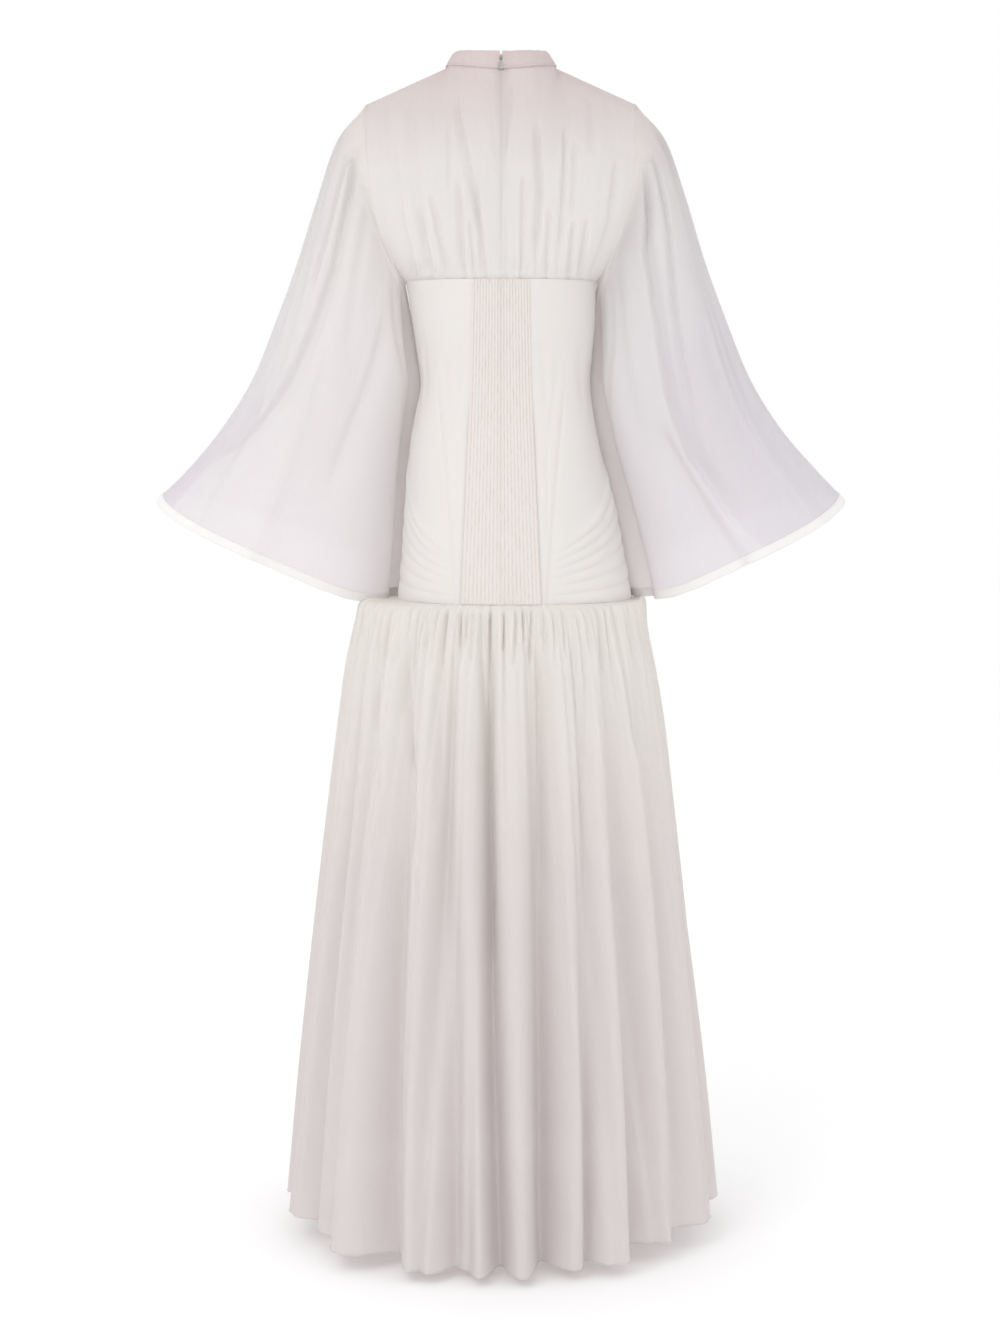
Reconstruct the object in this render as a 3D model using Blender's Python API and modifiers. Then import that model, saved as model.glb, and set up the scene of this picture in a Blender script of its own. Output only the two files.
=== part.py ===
# A floor-length gown, hollow as when worn: a stand collar, a gathered sheer yoke, cape sleeves,
# a long corset bodice with pintucks, and a gathered skirt, closed by a zip at the centre back.
# The front faces -Y, the zip +Y and the wearer's left +X. The origin lies between the shoulder
# seams at the base of the neck. Metres, +Z up.

import math
from types import SimpleNamespace

import bmesh
import bpy
import numpy as np
from mathutils import Matrix, Vector

# Cloth and seams
SEAM = 0.0003
CHIFFON = 0.0015
GATHERED_CHIFFON = 0.0020
CREPE = 0.0022
BINDING = 0.0022
COLLAR_CLOTH = 0.0020
BODY_ROUNDNESS = 2.3

# Heights, from the base of the neck
CORSET_TOP = -0.2540
CORSET_HEM = -0.6560
SKIRT_HEM_SIDE = -1.4410
SKIRT_DROP_BACK = 0.0270
SKIRT_DROP_FRONT = -0.0080

# Neck and collar: half widths, and how far the loops reach back and forward
NECK = SimpleNamespace(left=0.0683, right=0.0683, back=0.0600, front=0.0620)
NECK_SIDE_HEIGHT = 0.0148
NECK_DROP_BACK = 0.0096
NECK_DROP_FRONT = 0.0350
COLLAR_EDGE = SimpleNamespace(left=0.0580, right=0.0580, back=0.0545, front=0.0500)
COLLAR_SIDE_HEIGHT = 0.0322
COLLAR_DROP_BACK = 0.0050
COLLAR_DROP_FRONT = 0.0300
COLLAR_PART_TOP = 0.0015
COLLAR_PART_BASE = 0.0003

# Corset tucks
BACK_TUCKS = 8
BACK_TUCK_RISE = 0.0009
FAN_TUCKS = 7
FAN_TUCK_RISE = 0.0009

# Yoke gathers
YOKE_ROWS = (0.0, 0.08, 0.2, 0.36, 0.54, 0.72, 0.88, 1.0)
NECK_SHARE = 0.42
TOP_EDGE_FADE = 2.2
CENTRE_FLATNESS = 1.5
YOKE_GATHERS = 11
YOKE_GATHER_DEPTH = 0.0030
YOKE_BACK_FULLNESS = 0.0060
YOKE_FRONT_FULLNESS = 0.0050
FRONT_GATHERS = 18

# Sleeves
SLEEVE_COLUMNS = 36
SLEEVE_BINDING_WIDTH = 0.0120
UNDERARM_EASE = 0.0015

# Skirt
SKIRT_GATHERS = 96
SKIRT_GATHER_DEPTH = 0.0024
SKIRT_GATHER_AT_HEM = 0.0014
SKIRT_FOLD_GROWTH = 0.6
SKIRT_ROWS = (0.0, 0.006, 0.016, 0.045, 0.11, 0.25, 0.44, 0.68, 1.0)

# Zip
ZIP_BOTTOM = -0.5600
ZIP_TAPE_TOP = 0.0125
ZIP_TAPE_WIDTH = 0.0160
ZIP_TAPE_THICKNESS = 0.0010
ZIP_TAPE_BEHIND_CLOTH = 0.0034
PULL_AXIS_HEIGHT = 0.0200
PULL_AXIS_OFF_COLLAR = 0.0017
PULL_LENGTH = 0.0165
PULL_HALF_WIDTH = 0.0043
PULL_THICKNESS = 0.0010
PULL_REST_TILT = math.radians(14)
PULL_EYE_HALF_WIDTH = 0.0010
PULL_EYE_LENGTH = 0.0038
PULL_BAR = 0.0010
BRIDGE_WIDTH = 0.0010


def table(heads, *rows):
    """Rows with named columns, and the slope of each column along the first one."""
    values = np.array(rows, float)
    return SimpleNamespace(
        heads=heads.split(), values=values, slopes=np.gradient(values, values[:, 0], axis=0)
    )


def along(rows, place):
    """Every column of a table where its first column reaches a place, on a smooth curve."""
    keys = rows.values[:, 0]
    way = 1 if keys[-1] > keys[0] else -1
    last = len(keys) - 2
    row = int(np.clip(np.searchsorted(keys * way, place * way) - 1, 0, last))
    span = keys[row + 1] - keys[row]
    t = (place - keys[row]) / span
    values = (
        (2 * t**3 - 3 * t**2 + 1) * rows.values[row]
        + (t**3 - 2 * t**2 + t) * span * rows.slopes[row]
        + (3 * t**2 - 2 * t**3) * rows.values[row + 1]
        + (t**3 - t**2) * span * rows.slopes[row + 1]
    )
    return SimpleNamespace(**dict(zip(rows.heads, values)))


# The corset's outer surface: half widths to each side, and its reach back and forward
TORSO = table(
    "height left right back front",
    (-0.2540, 0.1210, 0.1210, 0.0900, 0.1180),
    (-0.3120, 0.1120, 0.1195, 0.0820, 0.1120),
    (-0.3450, 0.1070, 0.1165, 0.0760, 0.1010),
    (-0.3830, 0.1030, 0.1140, 0.0725, 0.0920),
    (-0.4180, 0.1095, 0.1185, 0.0820, 0.0935),
    (-0.4500, 0.1155, 0.1245, 0.0950, 0.0970),
    (-0.4900, 0.1195, 0.1335, 0.1090, 0.1030),
    (-0.5300, 0.1225, 0.1445, 0.1180, 0.1080),
    (-0.5750, 0.1255, 0.1535, 0.1220, 0.1120),
    (-0.6200, 0.1290, 0.1620, 0.1220, 0.1130),
    (-0.6560, 0.1330, 0.1680, 0.1210, 0.1130),
)

# Seams of the corset's back: half width of the tucked strip, and distance of the dart seam
BACK_SEAMS = table(
    "height tucks dart",
    (-0.2540, 0.0360, 0.0890),
    (-0.3830, 0.0390, 0.0810),
    (-0.5200, 0.0440, 0.0680),
    (-0.6560, 0.0500, 0.0580),
)

# The corset's main heights, and where the side panel's rows meet its two seams: they slant
# down to the dart seam, and below the last of them the fan of tucks spreads to the side
CORSET_HEIGHTS = (-0.254, -0.300, -0.345, -0.383, -0.420, -0.465, -0.520, -0.585, -0.656)
SIDE_ROWS_AT_DART = CORSET_HEIGHTS[:8]
SIDE_ROWS_AT_SIDE = (-0.254, -0.300, -0.3225, -0.345, -0.364, -0.383, -0.420, -0.465)
FAN_HEIGHTS_AT_SIDE = CORSET_HEIGHTS[5:]
FAN_ROWS_AT_SIDE = (0, 4, 9, 14)

# The centre-back line of the yoke and corset, as it bows over the shoulder blades
CENTRE_BACK = table(
    "height reach",
    (0.0052, 0.0600),
    (-0.0400, 0.0770),
    (-0.1000, 0.0950),
    (-0.1700, 0.0985),
    (-0.2540, 0.0900),
)

# The centre-front line of the yoke, over the bust
CENTRE_FRONT = table(
    "height reach",
    (-0.0202, 0.0620),
    (-0.0600, 0.0850),
    (-0.1100, 0.1080),
    (-0.1650, 0.1230),
    (-0.2150, 0.1240),
    (-0.2540, 0.1180),
)

# The left armhole seam from the shoulder tip round the back to the underarm, and up the front
ARMHOLE = table(
    "turn across out height",
    (0, 0.1710, 0.0000, -0.0310),
    (20, 0.1720, 0.0330, -0.0480),
    (38, 0.1700, 0.0560, -0.0880),
    (62, 0.1655, 0.0670, -0.1350),
    (96, 0.1545, 0.0630, -0.1880),
    (136, 0.1350, 0.0410, -0.2310),
    (180, 0.1225, 0.0000, -0.2525),
    (224, 0.1345, -0.0420, -0.2280),
    (264, 0.1500, -0.0610, -0.1840),
    (298, 0.1610, -0.0650, -0.1320),
    (322, 0.1680, -0.0550, -0.0860),
    (340, 0.1715, -0.0330, -0.0475),
    (360, 0.1710, 0.0000, -0.0310),
)

# How far down the yoke's edge each turn of the armhole seam comes
ARMHOLE_SHARES = (0.0, 0.076, 0.256, 0.467, 0.706, 0.900, 1.0)
ARMHOLE_SHARE_TURNS = (0, 20, 38, 62, 96, 136, 180)

# Each sleeve, ring by ring from below the armhole to its binding. Outer is the line that falls
# from the shoulder tip, inner the fold under the arm, in distance from the centre, reach towards
# the back, and height. Then the ring's depth to the back and front, and how far each layer sags.
SLEEVE_HEADS = (
    "ring outer_x outer_y outer_z inner_x inner_y inner_z back front sag_back sag_front"
)
LEFT_SLEEVE = table(
    SLEEVE_HEADS,
    (1, 0.2080, 0.000, -0.0740, 0.1205, -0.016, -0.2900, 0.063, 0.061, 0.000, 0.000),
    (2, 0.2345, 0.001, -0.1490, 0.1145, -0.032, -0.3140, 0.072, 0.070, 0.000, 0.000),
    (3, 0.2580, 0.003, -0.2240, 0.1075, -0.040, -0.3440, 0.080, 0.077, 0.002, 0.000),
    (4, 0.2860, 0.005, -0.3000, 0.1020, -0.045, -0.3820, 0.090, 0.085, 0.004, -0.004),
    (5, 0.3175, 0.006, -0.3760, 0.1085, -0.052, -0.4360, 0.094, 0.088, 0.008, -0.008),
    (6, 0.3590, 0.006, -0.4400, 0.1160, -0.056, -0.5000, 0.097, 0.091, 0.013, -0.014),
    (7, 0.4020, 0.005, -0.4910, 0.1215, -0.058, -0.5700, 0.100, 0.094, 0.018, -0.020),
    (8, 0.4340, 0.004, -0.5220, 0.1280, -0.056, -0.6400, 0.102, 0.096, 0.022, -0.026),
)
RIGHT_SLEEVE = table(
    SLEEVE_HEADS,
    (1, 0.2080, 0.000, -0.0740, 0.1225, -0.018, -0.2910, 0.063, 0.061, 0.000, 0.000),
    (2, 0.2355, 0.001, -0.1490, 0.1195, -0.034, -0.3200, 0.072, 0.070, 0.000, 0.000),
    (3, 0.2585, 0.003, -0.2240, 0.1150, -0.044, -0.3540, 0.080, 0.077, 0.002, 0.000),
    (4, 0.2865, 0.005, -0.3000, 0.1115, -0.048, -0.3900, 0.090, 0.085, 0.004, -0.004),
    (5, 0.3185, 0.006, -0.3760, 0.1185, -0.052, -0.4450, 0.094, 0.088, 0.008, -0.008),
    (6, 0.3595, 0.006, -0.4400, 0.1345, -0.055, -0.5120, 0.097, 0.091, 0.013, -0.014),
    (7, 0.4045, 0.005, -0.4910, 0.1490, -0.056, -0.5780, 0.100, 0.094, 0.018, -0.020),
    (8, 0.4340, 0.004, -0.5215, 0.1610, -0.054, -0.6360, 0.102, 0.096, 0.022, -0.026),
)
SLEEVE_RINGS = (0.0, 0.5, 1.0, 2.0, 3.0, 4.0, 5.0, 6.0, 7.0, 8.0)

# Long soft folds of a sleeve: where each starts and ends round it, in degrees, and its depth
SLEEVE_FOLDS = table(
    "top hem depth width",
    (38, 30, 0.0090, 11),
    (72, 64, 0.0060, 10),
    (104, 98, 0.0080, 12),
    (146, 148, 0.0110, 9),
    (222, 226, 0.0060, 10),
    (262, 258, 0.0080, 12),
    (300, 306, 0.0060, 10),
    (332, 338, 0.0070, 10),
)

# The skirt's outer form: half widths, and its reach back and forward
SKIRT = table(
    "height left right back front",
    (-0.6563, 0.1330, 0.1680, 0.1210, 0.1130),
    (-0.6610, 0.1620, 0.1800, 0.1290, 0.1200),
    (-0.6690, 0.1780, 0.1870, 0.1355, 0.1270),
    (-0.6900, 0.1895, 0.1930, 0.1440, 0.1355),
    (-0.7240, 0.1990, 0.2000, 0.1540, 0.1450),
    (-0.8000, 0.2110, 0.2125, 0.1720, 0.1600),
    (-0.9200, 0.2275, 0.2285, 0.1960, 0.1800),
    (-1.0800, 0.2475, 0.2485, 0.2230, 0.2050),
    (-1.2400, 0.2660, 0.2665, 0.2470, 0.2260),
    (-1.4410, 0.2860, 0.2860, 0.2720, 0.2500),
)

# Deep folds of the skirt: angle round it at the top and at the hem, in degrees from the left
# side towards the back, depth at the hem, and width in degrees
SKIRT_FOLDS = table(
    "top hem depth width",
    (12, 9, 0.020, 5.0),
    (24, 27, 0.032, 4.5),
    (33, 37, 0.026, 4.0),
    (45, 57, 0.052, 6.0),
    (63, 77, 0.044, 5.5),
    (82, 90, 0.058, 3.6),
    (108, 104, 0.060, 5.5),
    (127, 116, 0.040, 4.0),
    (140, 132, 0.056, 6.0),
    (154, 147, 0.036, 4.5),
    (170, 166, 0.022, 5.0),
    (188, 190, 0.026, 4.5),
    (203, 208, 0.040, 5.5),
    (219, 222, 0.034, 4.5),
    (236, 240, 0.050, 6.0),
    (252, 254, 0.030, 4.0),
    (268, 271, 0.048, 5.5),
    (285, 288, 0.036, 4.5),
    (303, 305, 0.052, 6.0),
    (320, 319, 0.030, 4.5),
    (334, 336, 0.042, 5.5),
    (349, 351, 0.028, 4.5),
)


def toward(start, end, share):
    return start + (end - start) * share


def unit(vector):
    return vector / np.linalg.norm(vector)


def oval(ring, angle):
    """A point across and out on a rounded oval, with its own reach to each of four sides."""
    across = math.cos(angle)
    out = math.sin(angle)
    half_width = ring.left if across >= 0 else ring.right
    depth = ring.back if out >= 0 else ring.front
    reach = ((abs(across) / half_width) ** BODY_ROUNDNESS
             + (abs(out) / depth) ** BODY_ROUNDNESS) ** (-1 / BODY_ROUNDNESS)
    return reach * across, reach * out


def facing(point, u, v, step=0.002):
    """The outward unit normal of a surface whose u runs round to the left of outward and v down."""
    round_it = point(u + step, v) - point(u - step, v)
    down_it = point(u, v + step) - point(u, v - step)
    return unit(np.cross(down_it, round_it))


def valleys(folds, angle_deg, ease):
    """How far a point sinks into the long folds, from 0 at the top to their depth at the hem."""
    sink = 0.0
    for top, hem, depth, width in folds.values:
        middle = toward(top, hem, ease)
        apart = (angle_deg - middle + 180) % 360 - 180
        sink += depth * math.exp(-((apart / width) ** 2))
    return sink


# Solids

def add_material(name, colour, roughness, metallic=0.0):
    material = bpy.data.materials.new(name)
    material.use_nodes = True
    shader = material.node_tree.nodes["Principled BSDF"]
    shader.inputs["Base Color"].default_value = (*colour, 1.0)
    shader.inputs["Roughness"].default_value = roughness
    shader.inputs["Metallic"].default_value = metallic
    return material


def finish(obj, finish_values):
    """Puts a piece in the gown's collection with a material of its own."""
    for owner in list(obj.users_collection):
        owner.objects.unlink(obj)
    gown.objects.link(obj)
    obj.data.materials.clear()
    obj.data.materials.append(add_material(obj.name, *finish_values))
    return obj


def wall(name, finish_values, outer, inner, closed=False):
    """A cloth wall between an outer and an inner grid of points, closed at its edges.

    Both layers are split along the same diagonals, so that they stay as far apart everywhere.
    """
    rows, columns = outer.shape[:2]
    mesh = bpy.data.meshes.new(name)
    body = bmesh.new()
    faces = [[[body.verts.new(point) for point in row] for row in grid] for grid in (outer, inner)]
    outside, inside = faces
    steps = columns if closed else columns - 1
    for row in range(rows - 1):
        for column in range(steps):
            after = (column + 1) % columns
            falling = outer[row + 1, after] - outer[row, column]
            rising = outer[row, after] - outer[row + 1, column]
            for layer in faces:
                corners = (layer[row][column], layer[row][after],
                           layer[row + 1][after], layer[row + 1][column])
                if np.linalg.norm(falling) > np.linalg.norm(rising):
                    corners = corners[1:] + corners[:1]
                body.faces.new((corners[0], corners[1], corners[2]))
                body.faces.new((corners[0], corners[2], corners[3]))
    for row in (0, rows - 1):
        for column in range(steps):
            after = (column + 1) % columns
            body.faces.new((outside[row][column], outside[row][after],
                            inside[row][after], inside[row][column]))
    if not closed:
        for column in (0, columns - 1):
            for row in range(rows - 1):
                body.faces.new((outside[row][column], outside[row + 1][column],
                                inside[row + 1][column], inside[row][column]))
    bmesh.ops.recalc_face_normals(body, faces=body.faces)
    body.to_mesh(mesh)
    body.free()
    mesh.shade_smooth()
    mesh.set_sharp_from_angle(angle=math.radians(40))
    return finish(bpy.data.objects.new(name, mesh), finish_values)


def level_edges(outer, inner):
    """Makes a wall's top and bottom edges level, so that it butts against its neighbours."""
    for row in (0, -1):
        inner[row, :, 2] = outer[row, :, 2]


# Corset

def torso(angle, height):
    across, out = oval(along(TORSO, height), angle)
    return np.array((across, out, height))


def torso_facing(angle, height):
    return facing(lambda u, v: torso(u, -v), angle, -height)


def back_angle(height, across):
    """The angle of a point on the corset's back at a distance from the centre-back line."""
    ring = along(TORSO, height)
    half_width = ring.left if across >= 0 else ring.right
    out = ring.back * (1 - (abs(across) / half_width) ** BODY_ROUNDNESS) ** (1 / BODY_ROUNDNESS)
    return math.atan2(out, across)


def side_angle(side, height, gap):
    """The angle of the side seam, moved back round the body by a gap."""
    ring = along(TORSO, height)
    turn = gap / (ring.left if side > 0 else ring.right)
    return turn if side > 0 else math.pi - turn


def corset_panel(name, rows, columns, straight_edges=()):
    """A corset panel. Each row gives, for each share across, an angle, a height and a rise.

    A straight edge is a column and its angle at a height. Its points lie on the chords between
    the corset's main heights, so that it meets a neighbour that has fewer rows.
    """
    outer = np.zeros((len(rows), len(columns), 3))
    inner = np.zeros_like(outer)
    for i, row in enumerate(rows):
        for j, share in enumerate(columns):
            angle, height, rise = row(share, j)
            normal = torso_facing(angle, height)
            outer[i, j] = torso(angle, height) + normal * rise
            inner[i, j] = torso(angle, height) - normal * CREPE
    level_edges(outer, inner)
    for column, angle_at in straight_edges:
        for i in range(len(rows)):
            outer[i, column], inner[i, column] = on_chord(angle_at, outer[i, column, 2])
    return wall(name, CREPE_FINISH, outer, inner)


def on_chord(angle_at, height):
    """The corset's outer and inner points at a seam, on the chord between two main heights."""
    below = next((i for i, main in enumerate(CORSET_HEIGHTS) if main <= height + 1e-7), -1)
    ends = []
    for main in (CORSET_HEIGHTS[below - 1], CORSET_HEIGHTS[below]) if below else CORSET_HEIGHTS[:2]:
        point = torso(angle_at(main), main)
        inside = point - torso_facing(angle_at(main), main) * CREPE
        if main in (CORSET_TOP, CORSET_HEM):
            inside[2] = main
        ends.append((point, inside))
    share = (height - ends[0][0][2]) / (ends[1][0][2] - ends[0][0][2])
    return [toward(start, end, share) for start, end in zip(*ends)]


def back_tuck_panel(side, name):
    """Half of the centre-back strip, with fine upright tucks raised on its outer face."""
    columns = np.linspace(0, 1, 2 * BACK_TUCKS + 1)

    def row_at(height):
        def place(share, column):
            half = along(BACK_SEAMS, height).tucks
            across = side * toward(SEAM / 2, half - SEAM / 2, share)
            return back_angle(height, across), height, BACK_TUCK_RISE * (column % 2)
        return place

    return corset_panel(name, [row_at(height) for height in CORSET_HEIGHTS], columns)


def back_dart_panel(side, name):
    """The wedge between the tucked strip and the dart seam, which narrows to the hem."""

    def row_at(height):
        def place(share, column):
            seams = along(BACK_SEAMS, height)
            across = side * toward(seams.tucks + SEAM / 2, seams.dart - SEAM / 2, share)
            return back_angle(height, across), height, 0.0
        return place

    return corset_panel(name, [row_at(height) for height in CORSET_HEIGHTS], np.linspace(0, 1, 5))


def side_panel(side, name):
    """From the dart seam round to the side seam, with a fan of tucks at the lower corner."""
    ends = [(at_dart, at_side, 0.0)
            for at_dart, at_side in zip(SIDE_ROWS_AT_DART, SIDE_ROWS_AT_SIDE)]
    fan_rows = 2 * FAN_TUCKS
    for i in range(1, fan_rows + 1):
        at_dart = toward(SIDE_ROWS_AT_DART[-1], CORSET_HEM, i / fan_rows)
        at_side = float(np.interp(i, FAN_ROWS_AT_SIDE, FAN_HEIGHTS_AT_SIDE))
        ends.append((at_dart, at_side, FAN_TUCK_RISE * (i % 2)))

    def dart(height):
        return back_angle(height, side * (along(BACK_SEAMS, height).dart + SEAM / 2))

    def seam(height):
        return side_angle(side, height, SEAM / 2)

    def row_at(at_dart, at_side, rise):
        def place(share, column):
            height = toward(at_dart, at_side, share ** 1.25)
            fade = min(1.0, 4 * share, 8 * (1 - share))
            return toward(dart(height), seam(height), share), height, rise * fade
        return place

    rows = [row_at(*row) for row in ends]
    return corset_panel(name, rows, np.linspace(0, 1, 8), ((0, dart), (-1, seam)))


def front_panel(name):
    """The plain corset front, from side seam to side seam."""

    def row_at(height):
        def place(share, column):
            left = -side_angle(1, height, SEAM / 2)
            right = -side_angle(-1, height, SEAM / 2)
            return toward(right, left, share), height, 0.0
        return place

    return corset_panel(name, [row_at(height) for height in CORSET_HEIGHTS], np.linspace(0, 1, 17))


# Collar and yoke

def neckline(angle, height_above=0.0):
    across, out = oval(NECK, angle)
    lift = math.sin(angle)
    drop = (NECK_DROP_BACK if lift > 0 else NECK_DROP_FRONT) * lift**2
    return np.array((across, out, NECK_SIDE_HEIGHT - drop + height_above))


def collar_edge(angle):
    across, out = oval(COLLAR_EDGE, angle)
    lift = math.sin(angle)
    drop = (COLLAR_DROP_BACK if lift > 0 else COLLAR_DROP_FRONT) * lift**2
    return np.array((across, out, COLLAR_SIDE_HEIGHT - drop))


def stand_collar(name):
    """One band round the neck, whose ends part a little at the centre back for the zip."""
    columns = 33
    levels = (0.0, 0.5, 1.0)
    outer = np.zeros((len(levels), columns, 3))
    inner = np.zeros_like(outer)
    for i, level in enumerate(levels):
        part = toward(COLLAR_PART_BASE, COLLAR_PART_TOP, level)
        turn = part / toward(NECK.back, COLLAR_EDGE.back, level)
        start = math.pi / 2 + turn
        for j in range(columns):
            angle = toward(start, start + 2 * math.pi - 2 * turn, j / (columns - 1))
            base = neckline(angle, SEAM)
            point = toward(base, collar_edge(angle), level)
            inward = unit(np.array((-point[0], -point[1], 0.0)))
            outer[i, j] = point
            inner[i, j] = point + inward * COLLAR_CLOTH
            if j in (0, columns - 1):
                inner[i, j, 0] = point[0]
    return wall(name, CHIFFON_FINISH, outer, inner)


def edge_turn(share):
    """The armhole's turn at a share of the way down the yoke's edge."""
    return float(np.interp(share, ARMHOLE_SHARES, ARMHOLE_SHARE_TURNS))


def armhole(turn_deg, side):
    place = along(ARMHOLE, turn_deg % 360)
    return np.array((side * place.across, place.out, place.height))


def armhole_inward(turn_deg, side, own_inward):
    """The way a cloth's edge faces at the armhole seam.

    Over the shoulder both cloths' edges face the middle of the armhole, and under the arm, where
    they part, each keeps its own inward way.
    """
    centre = np.array((side * 0.158, 0.0, -0.145))
    shared = unit(centre - armhole(turn_deg, side))
    own = min(max((110 - abs(turn_deg % 360 - 180)) / 40, 0), 1)
    return unit(shared * (1 - own) + own_inward * own)


def armhole_chord(turn_deg, side, own_inward):
    """A point, its inward way and the seam's way on the chords that join the yoke's rows."""
    back = turn_deg <= 180
    fold = turn_deg if back else 360 - turn_deg
    main = [edge_turn(share) for share in YOKE_ROWS]
    after = next(i for i, turn in enumerate(main) if turn >= fold - 1e-9)
    ends = [main[max(after - 1, 0)], main[max(after, 1)]]
    share = (fold - ends[0]) / (ends[1] - ends[0])
    turns = ends if back else [360 - turn for turn in ends]
    points = [armhole(turn, side) for turn in turns]
    inward = toward(*[armhole_inward(turn, side, own_inward) for turn in turns], share)
    return toward(*points, share), inward, unit(points[1] - points[0])


def half_yoke_form(side, way):
    """The smooth form of half a yoke, at the back for way 1 and at the front for way -1.

    u runs from the centre line to the armhole and v from the top down.
    """
    middle = way * math.pi / 2
    line = CENTRE_BACK if way > 0 else CENTRE_FRONT

    def top(u):
        if u < NECK_SHARE:
            return neckline(middle * (1 - side * u / NECK_SHARE))
        return toward(neckline(0 if side > 0 else math.pi), armhole(0, side),
                      (u - NECK_SHARE) / (1 - NECK_SHARE))

    def bottom(u):
        return torso(middle * (1 - side * u), CORSET_TOP) + np.array((0, 0, SEAM))

    def centre(v):
        height = toward(neckline(middle)[2], CORSET_TOP + SEAM, v)
        return np.array((0.0, way * along(line, height).reach, height))

    def outer_edge(v):
        return armhole(way * edge_turn(v), side)

    def point(u, v):
        high = max(1 - v, 0) ** TOP_EDGE_FADE
        bent = max(u, 0) ** CENTRE_FLATNESS
        from_top = top(u) - toward(top(0), top(1), bent)
        from_bottom = bottom(u) - toward(bottom(0), bottom(1), bent)
        return toward(centre(v), outer_edge(v), bent) + high * from_top + (1 - high) * from_bottom

    return point


def front_yoke_form():
    """The smooth form of the front yoke: u from right to left, v from the top down."""
    halves = {side: half_yoke_form(side, -1) for side in (1, -1)}
    return lambda u, v: halves[1 if u >= 0.5 else -1](abs(2 * u - 1), v)


def yoke_wall(name, form, across, down, displace, way, seams):
    """A gathered yoke piece: its smooth form swollen and folded, with a wall to the inside."""
    outer = np.zeros((len(down), len(across), 3))
    inner = np.zeros_like(outer)
    for i, v in enumerate(down):
        for j, u in enumerate(across):
            inside_u = min(max(u, 0.004), 0.996)
            inside_v = min(max(v, 0.004), 0.996)
            normal = facing(form, inside_u, inside_v) * way
            outer[i, j] = form(u, v) + normal * displace(u, v, j)
            inner[i, j] = outer[i, j] - normal * CHIFFON
    seams(outer, inner)
    return wall(name, CHIFFON_FINISH, outer, inner)


def back_yoke(side, name):
    form = half_yoke_form(side, 1)
    across = np.linspace(0, 1, 2 * YOKE_GATHERS + 1)
    down = YOKE_ROWS

    def displace(u, v, column):
        fullness = YOKE_BACK_FULLNESS * math.sin(math.pi * u) ** 2 * math.sin(math.pi * v)
        shown = math.sin(math.pi * min(1.0, 0.04 + v) * 0.5) * min(1.0, 6 * u, 3 * (1 - u))
        rest = 0.35 if v in (0.0, 1.0) else 1.0
        return fullness - YOKE_GATHER_DEPTH * (column % 2) * shown * rest

    def seams(outer, inner):
        shoulder = [j for j, u in enumerate(across) if u > NECK_SHARE]
        outer[0, shoulder, 1] += SEAM / 2
        inner[0, shoulder, 1] = outer[0, shoulder, 1]
        outer[:, 0, 0] = side * SEAM / 2
        inner[:, 0, 0] = outer[:, 0, 0]
        for i, v in enumerate(down):
            own = unit(inner[i, -1] - outer[i, -1])
            outer[i, -1] = armhole(edge_turn(v), side)
            inner[i, -1] = outer[i, -1] + armhole_inward(edge_turn(v), side, own) * CHIFFON
        outer[0, -1, 1] = inner[0, -1, 1] = SEAM / 2
        outer[-1, -1, 1] = inner[-1, -1, 1] = SEAM / 2
        np.maximum(inner[:, :, 1], SEAM / 2, out=inner[:, :, 1])
        outer[-1, :, 2] = CORSET_TOP + SEAM
        inner[-1, :, 2] = outer[-1, :, 2]

    return yoke_wall(name, form, across, down, displace, -side, seams)


def front_yoke(name):
    form = front_yoke_form()
    across = np.linspace(0, 1, 2 * FRONT_GATHERS + 1)
    down = YOKE_ROWS

    def displace(u, v, column):
        fullness = YOKE_FRONT_FULLNESS * math.sin(math.pi * u) ** 2 * math.sin(math.pi * v)
        shown = math.sin(math.pi * min(1.0, 0.04 + v) * 0.5) * min(1.0, 4 * u, 4 * (1 - u))
        rest = 0.35 if v in (0.0, 1.0) else 1.0
        return fullness - YOKE_GATHER_DEPTH * (column % 2) * shown * rest

    def seams(outer, inner):
        shoulder = [j for j, u in enumerate(across) if abs(2 * u - 1) > NECK_SHARE]
        outer[0, shoulder, 1] -= SEAM / 2
        inner[0, shoulder, 1] = outer[0, shoulder, 1]
        for i, v in enumerate(down):
            for column, side in ((0, -1), (-1, 1)):
                turn = 360 - edge_turn(v)
                own = unit(inner[i, column] - outer[i, column])
                outer[i, column] = armhole(turn, side)
                inner[i, column] = outer[i, column] + armhole_inward(turn, side, own) * CHIFFON
        for row in (0, -1):
            outer[row, (0, -1), 1] = inner[row, (0, -1), 1] = -SEAM / 2
        np.minimum(inner[:, :, 1], -SEAM / 2, out=inner[:, :, 1])
        outer[-1, :, 2] = CORSET_TOP + SEAM
        inner[-1, :, 2] = outer[-1, :, 2]

    return yoke_wall(name, form, across, down, displace, 1, seams)


# Sleeves

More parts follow.
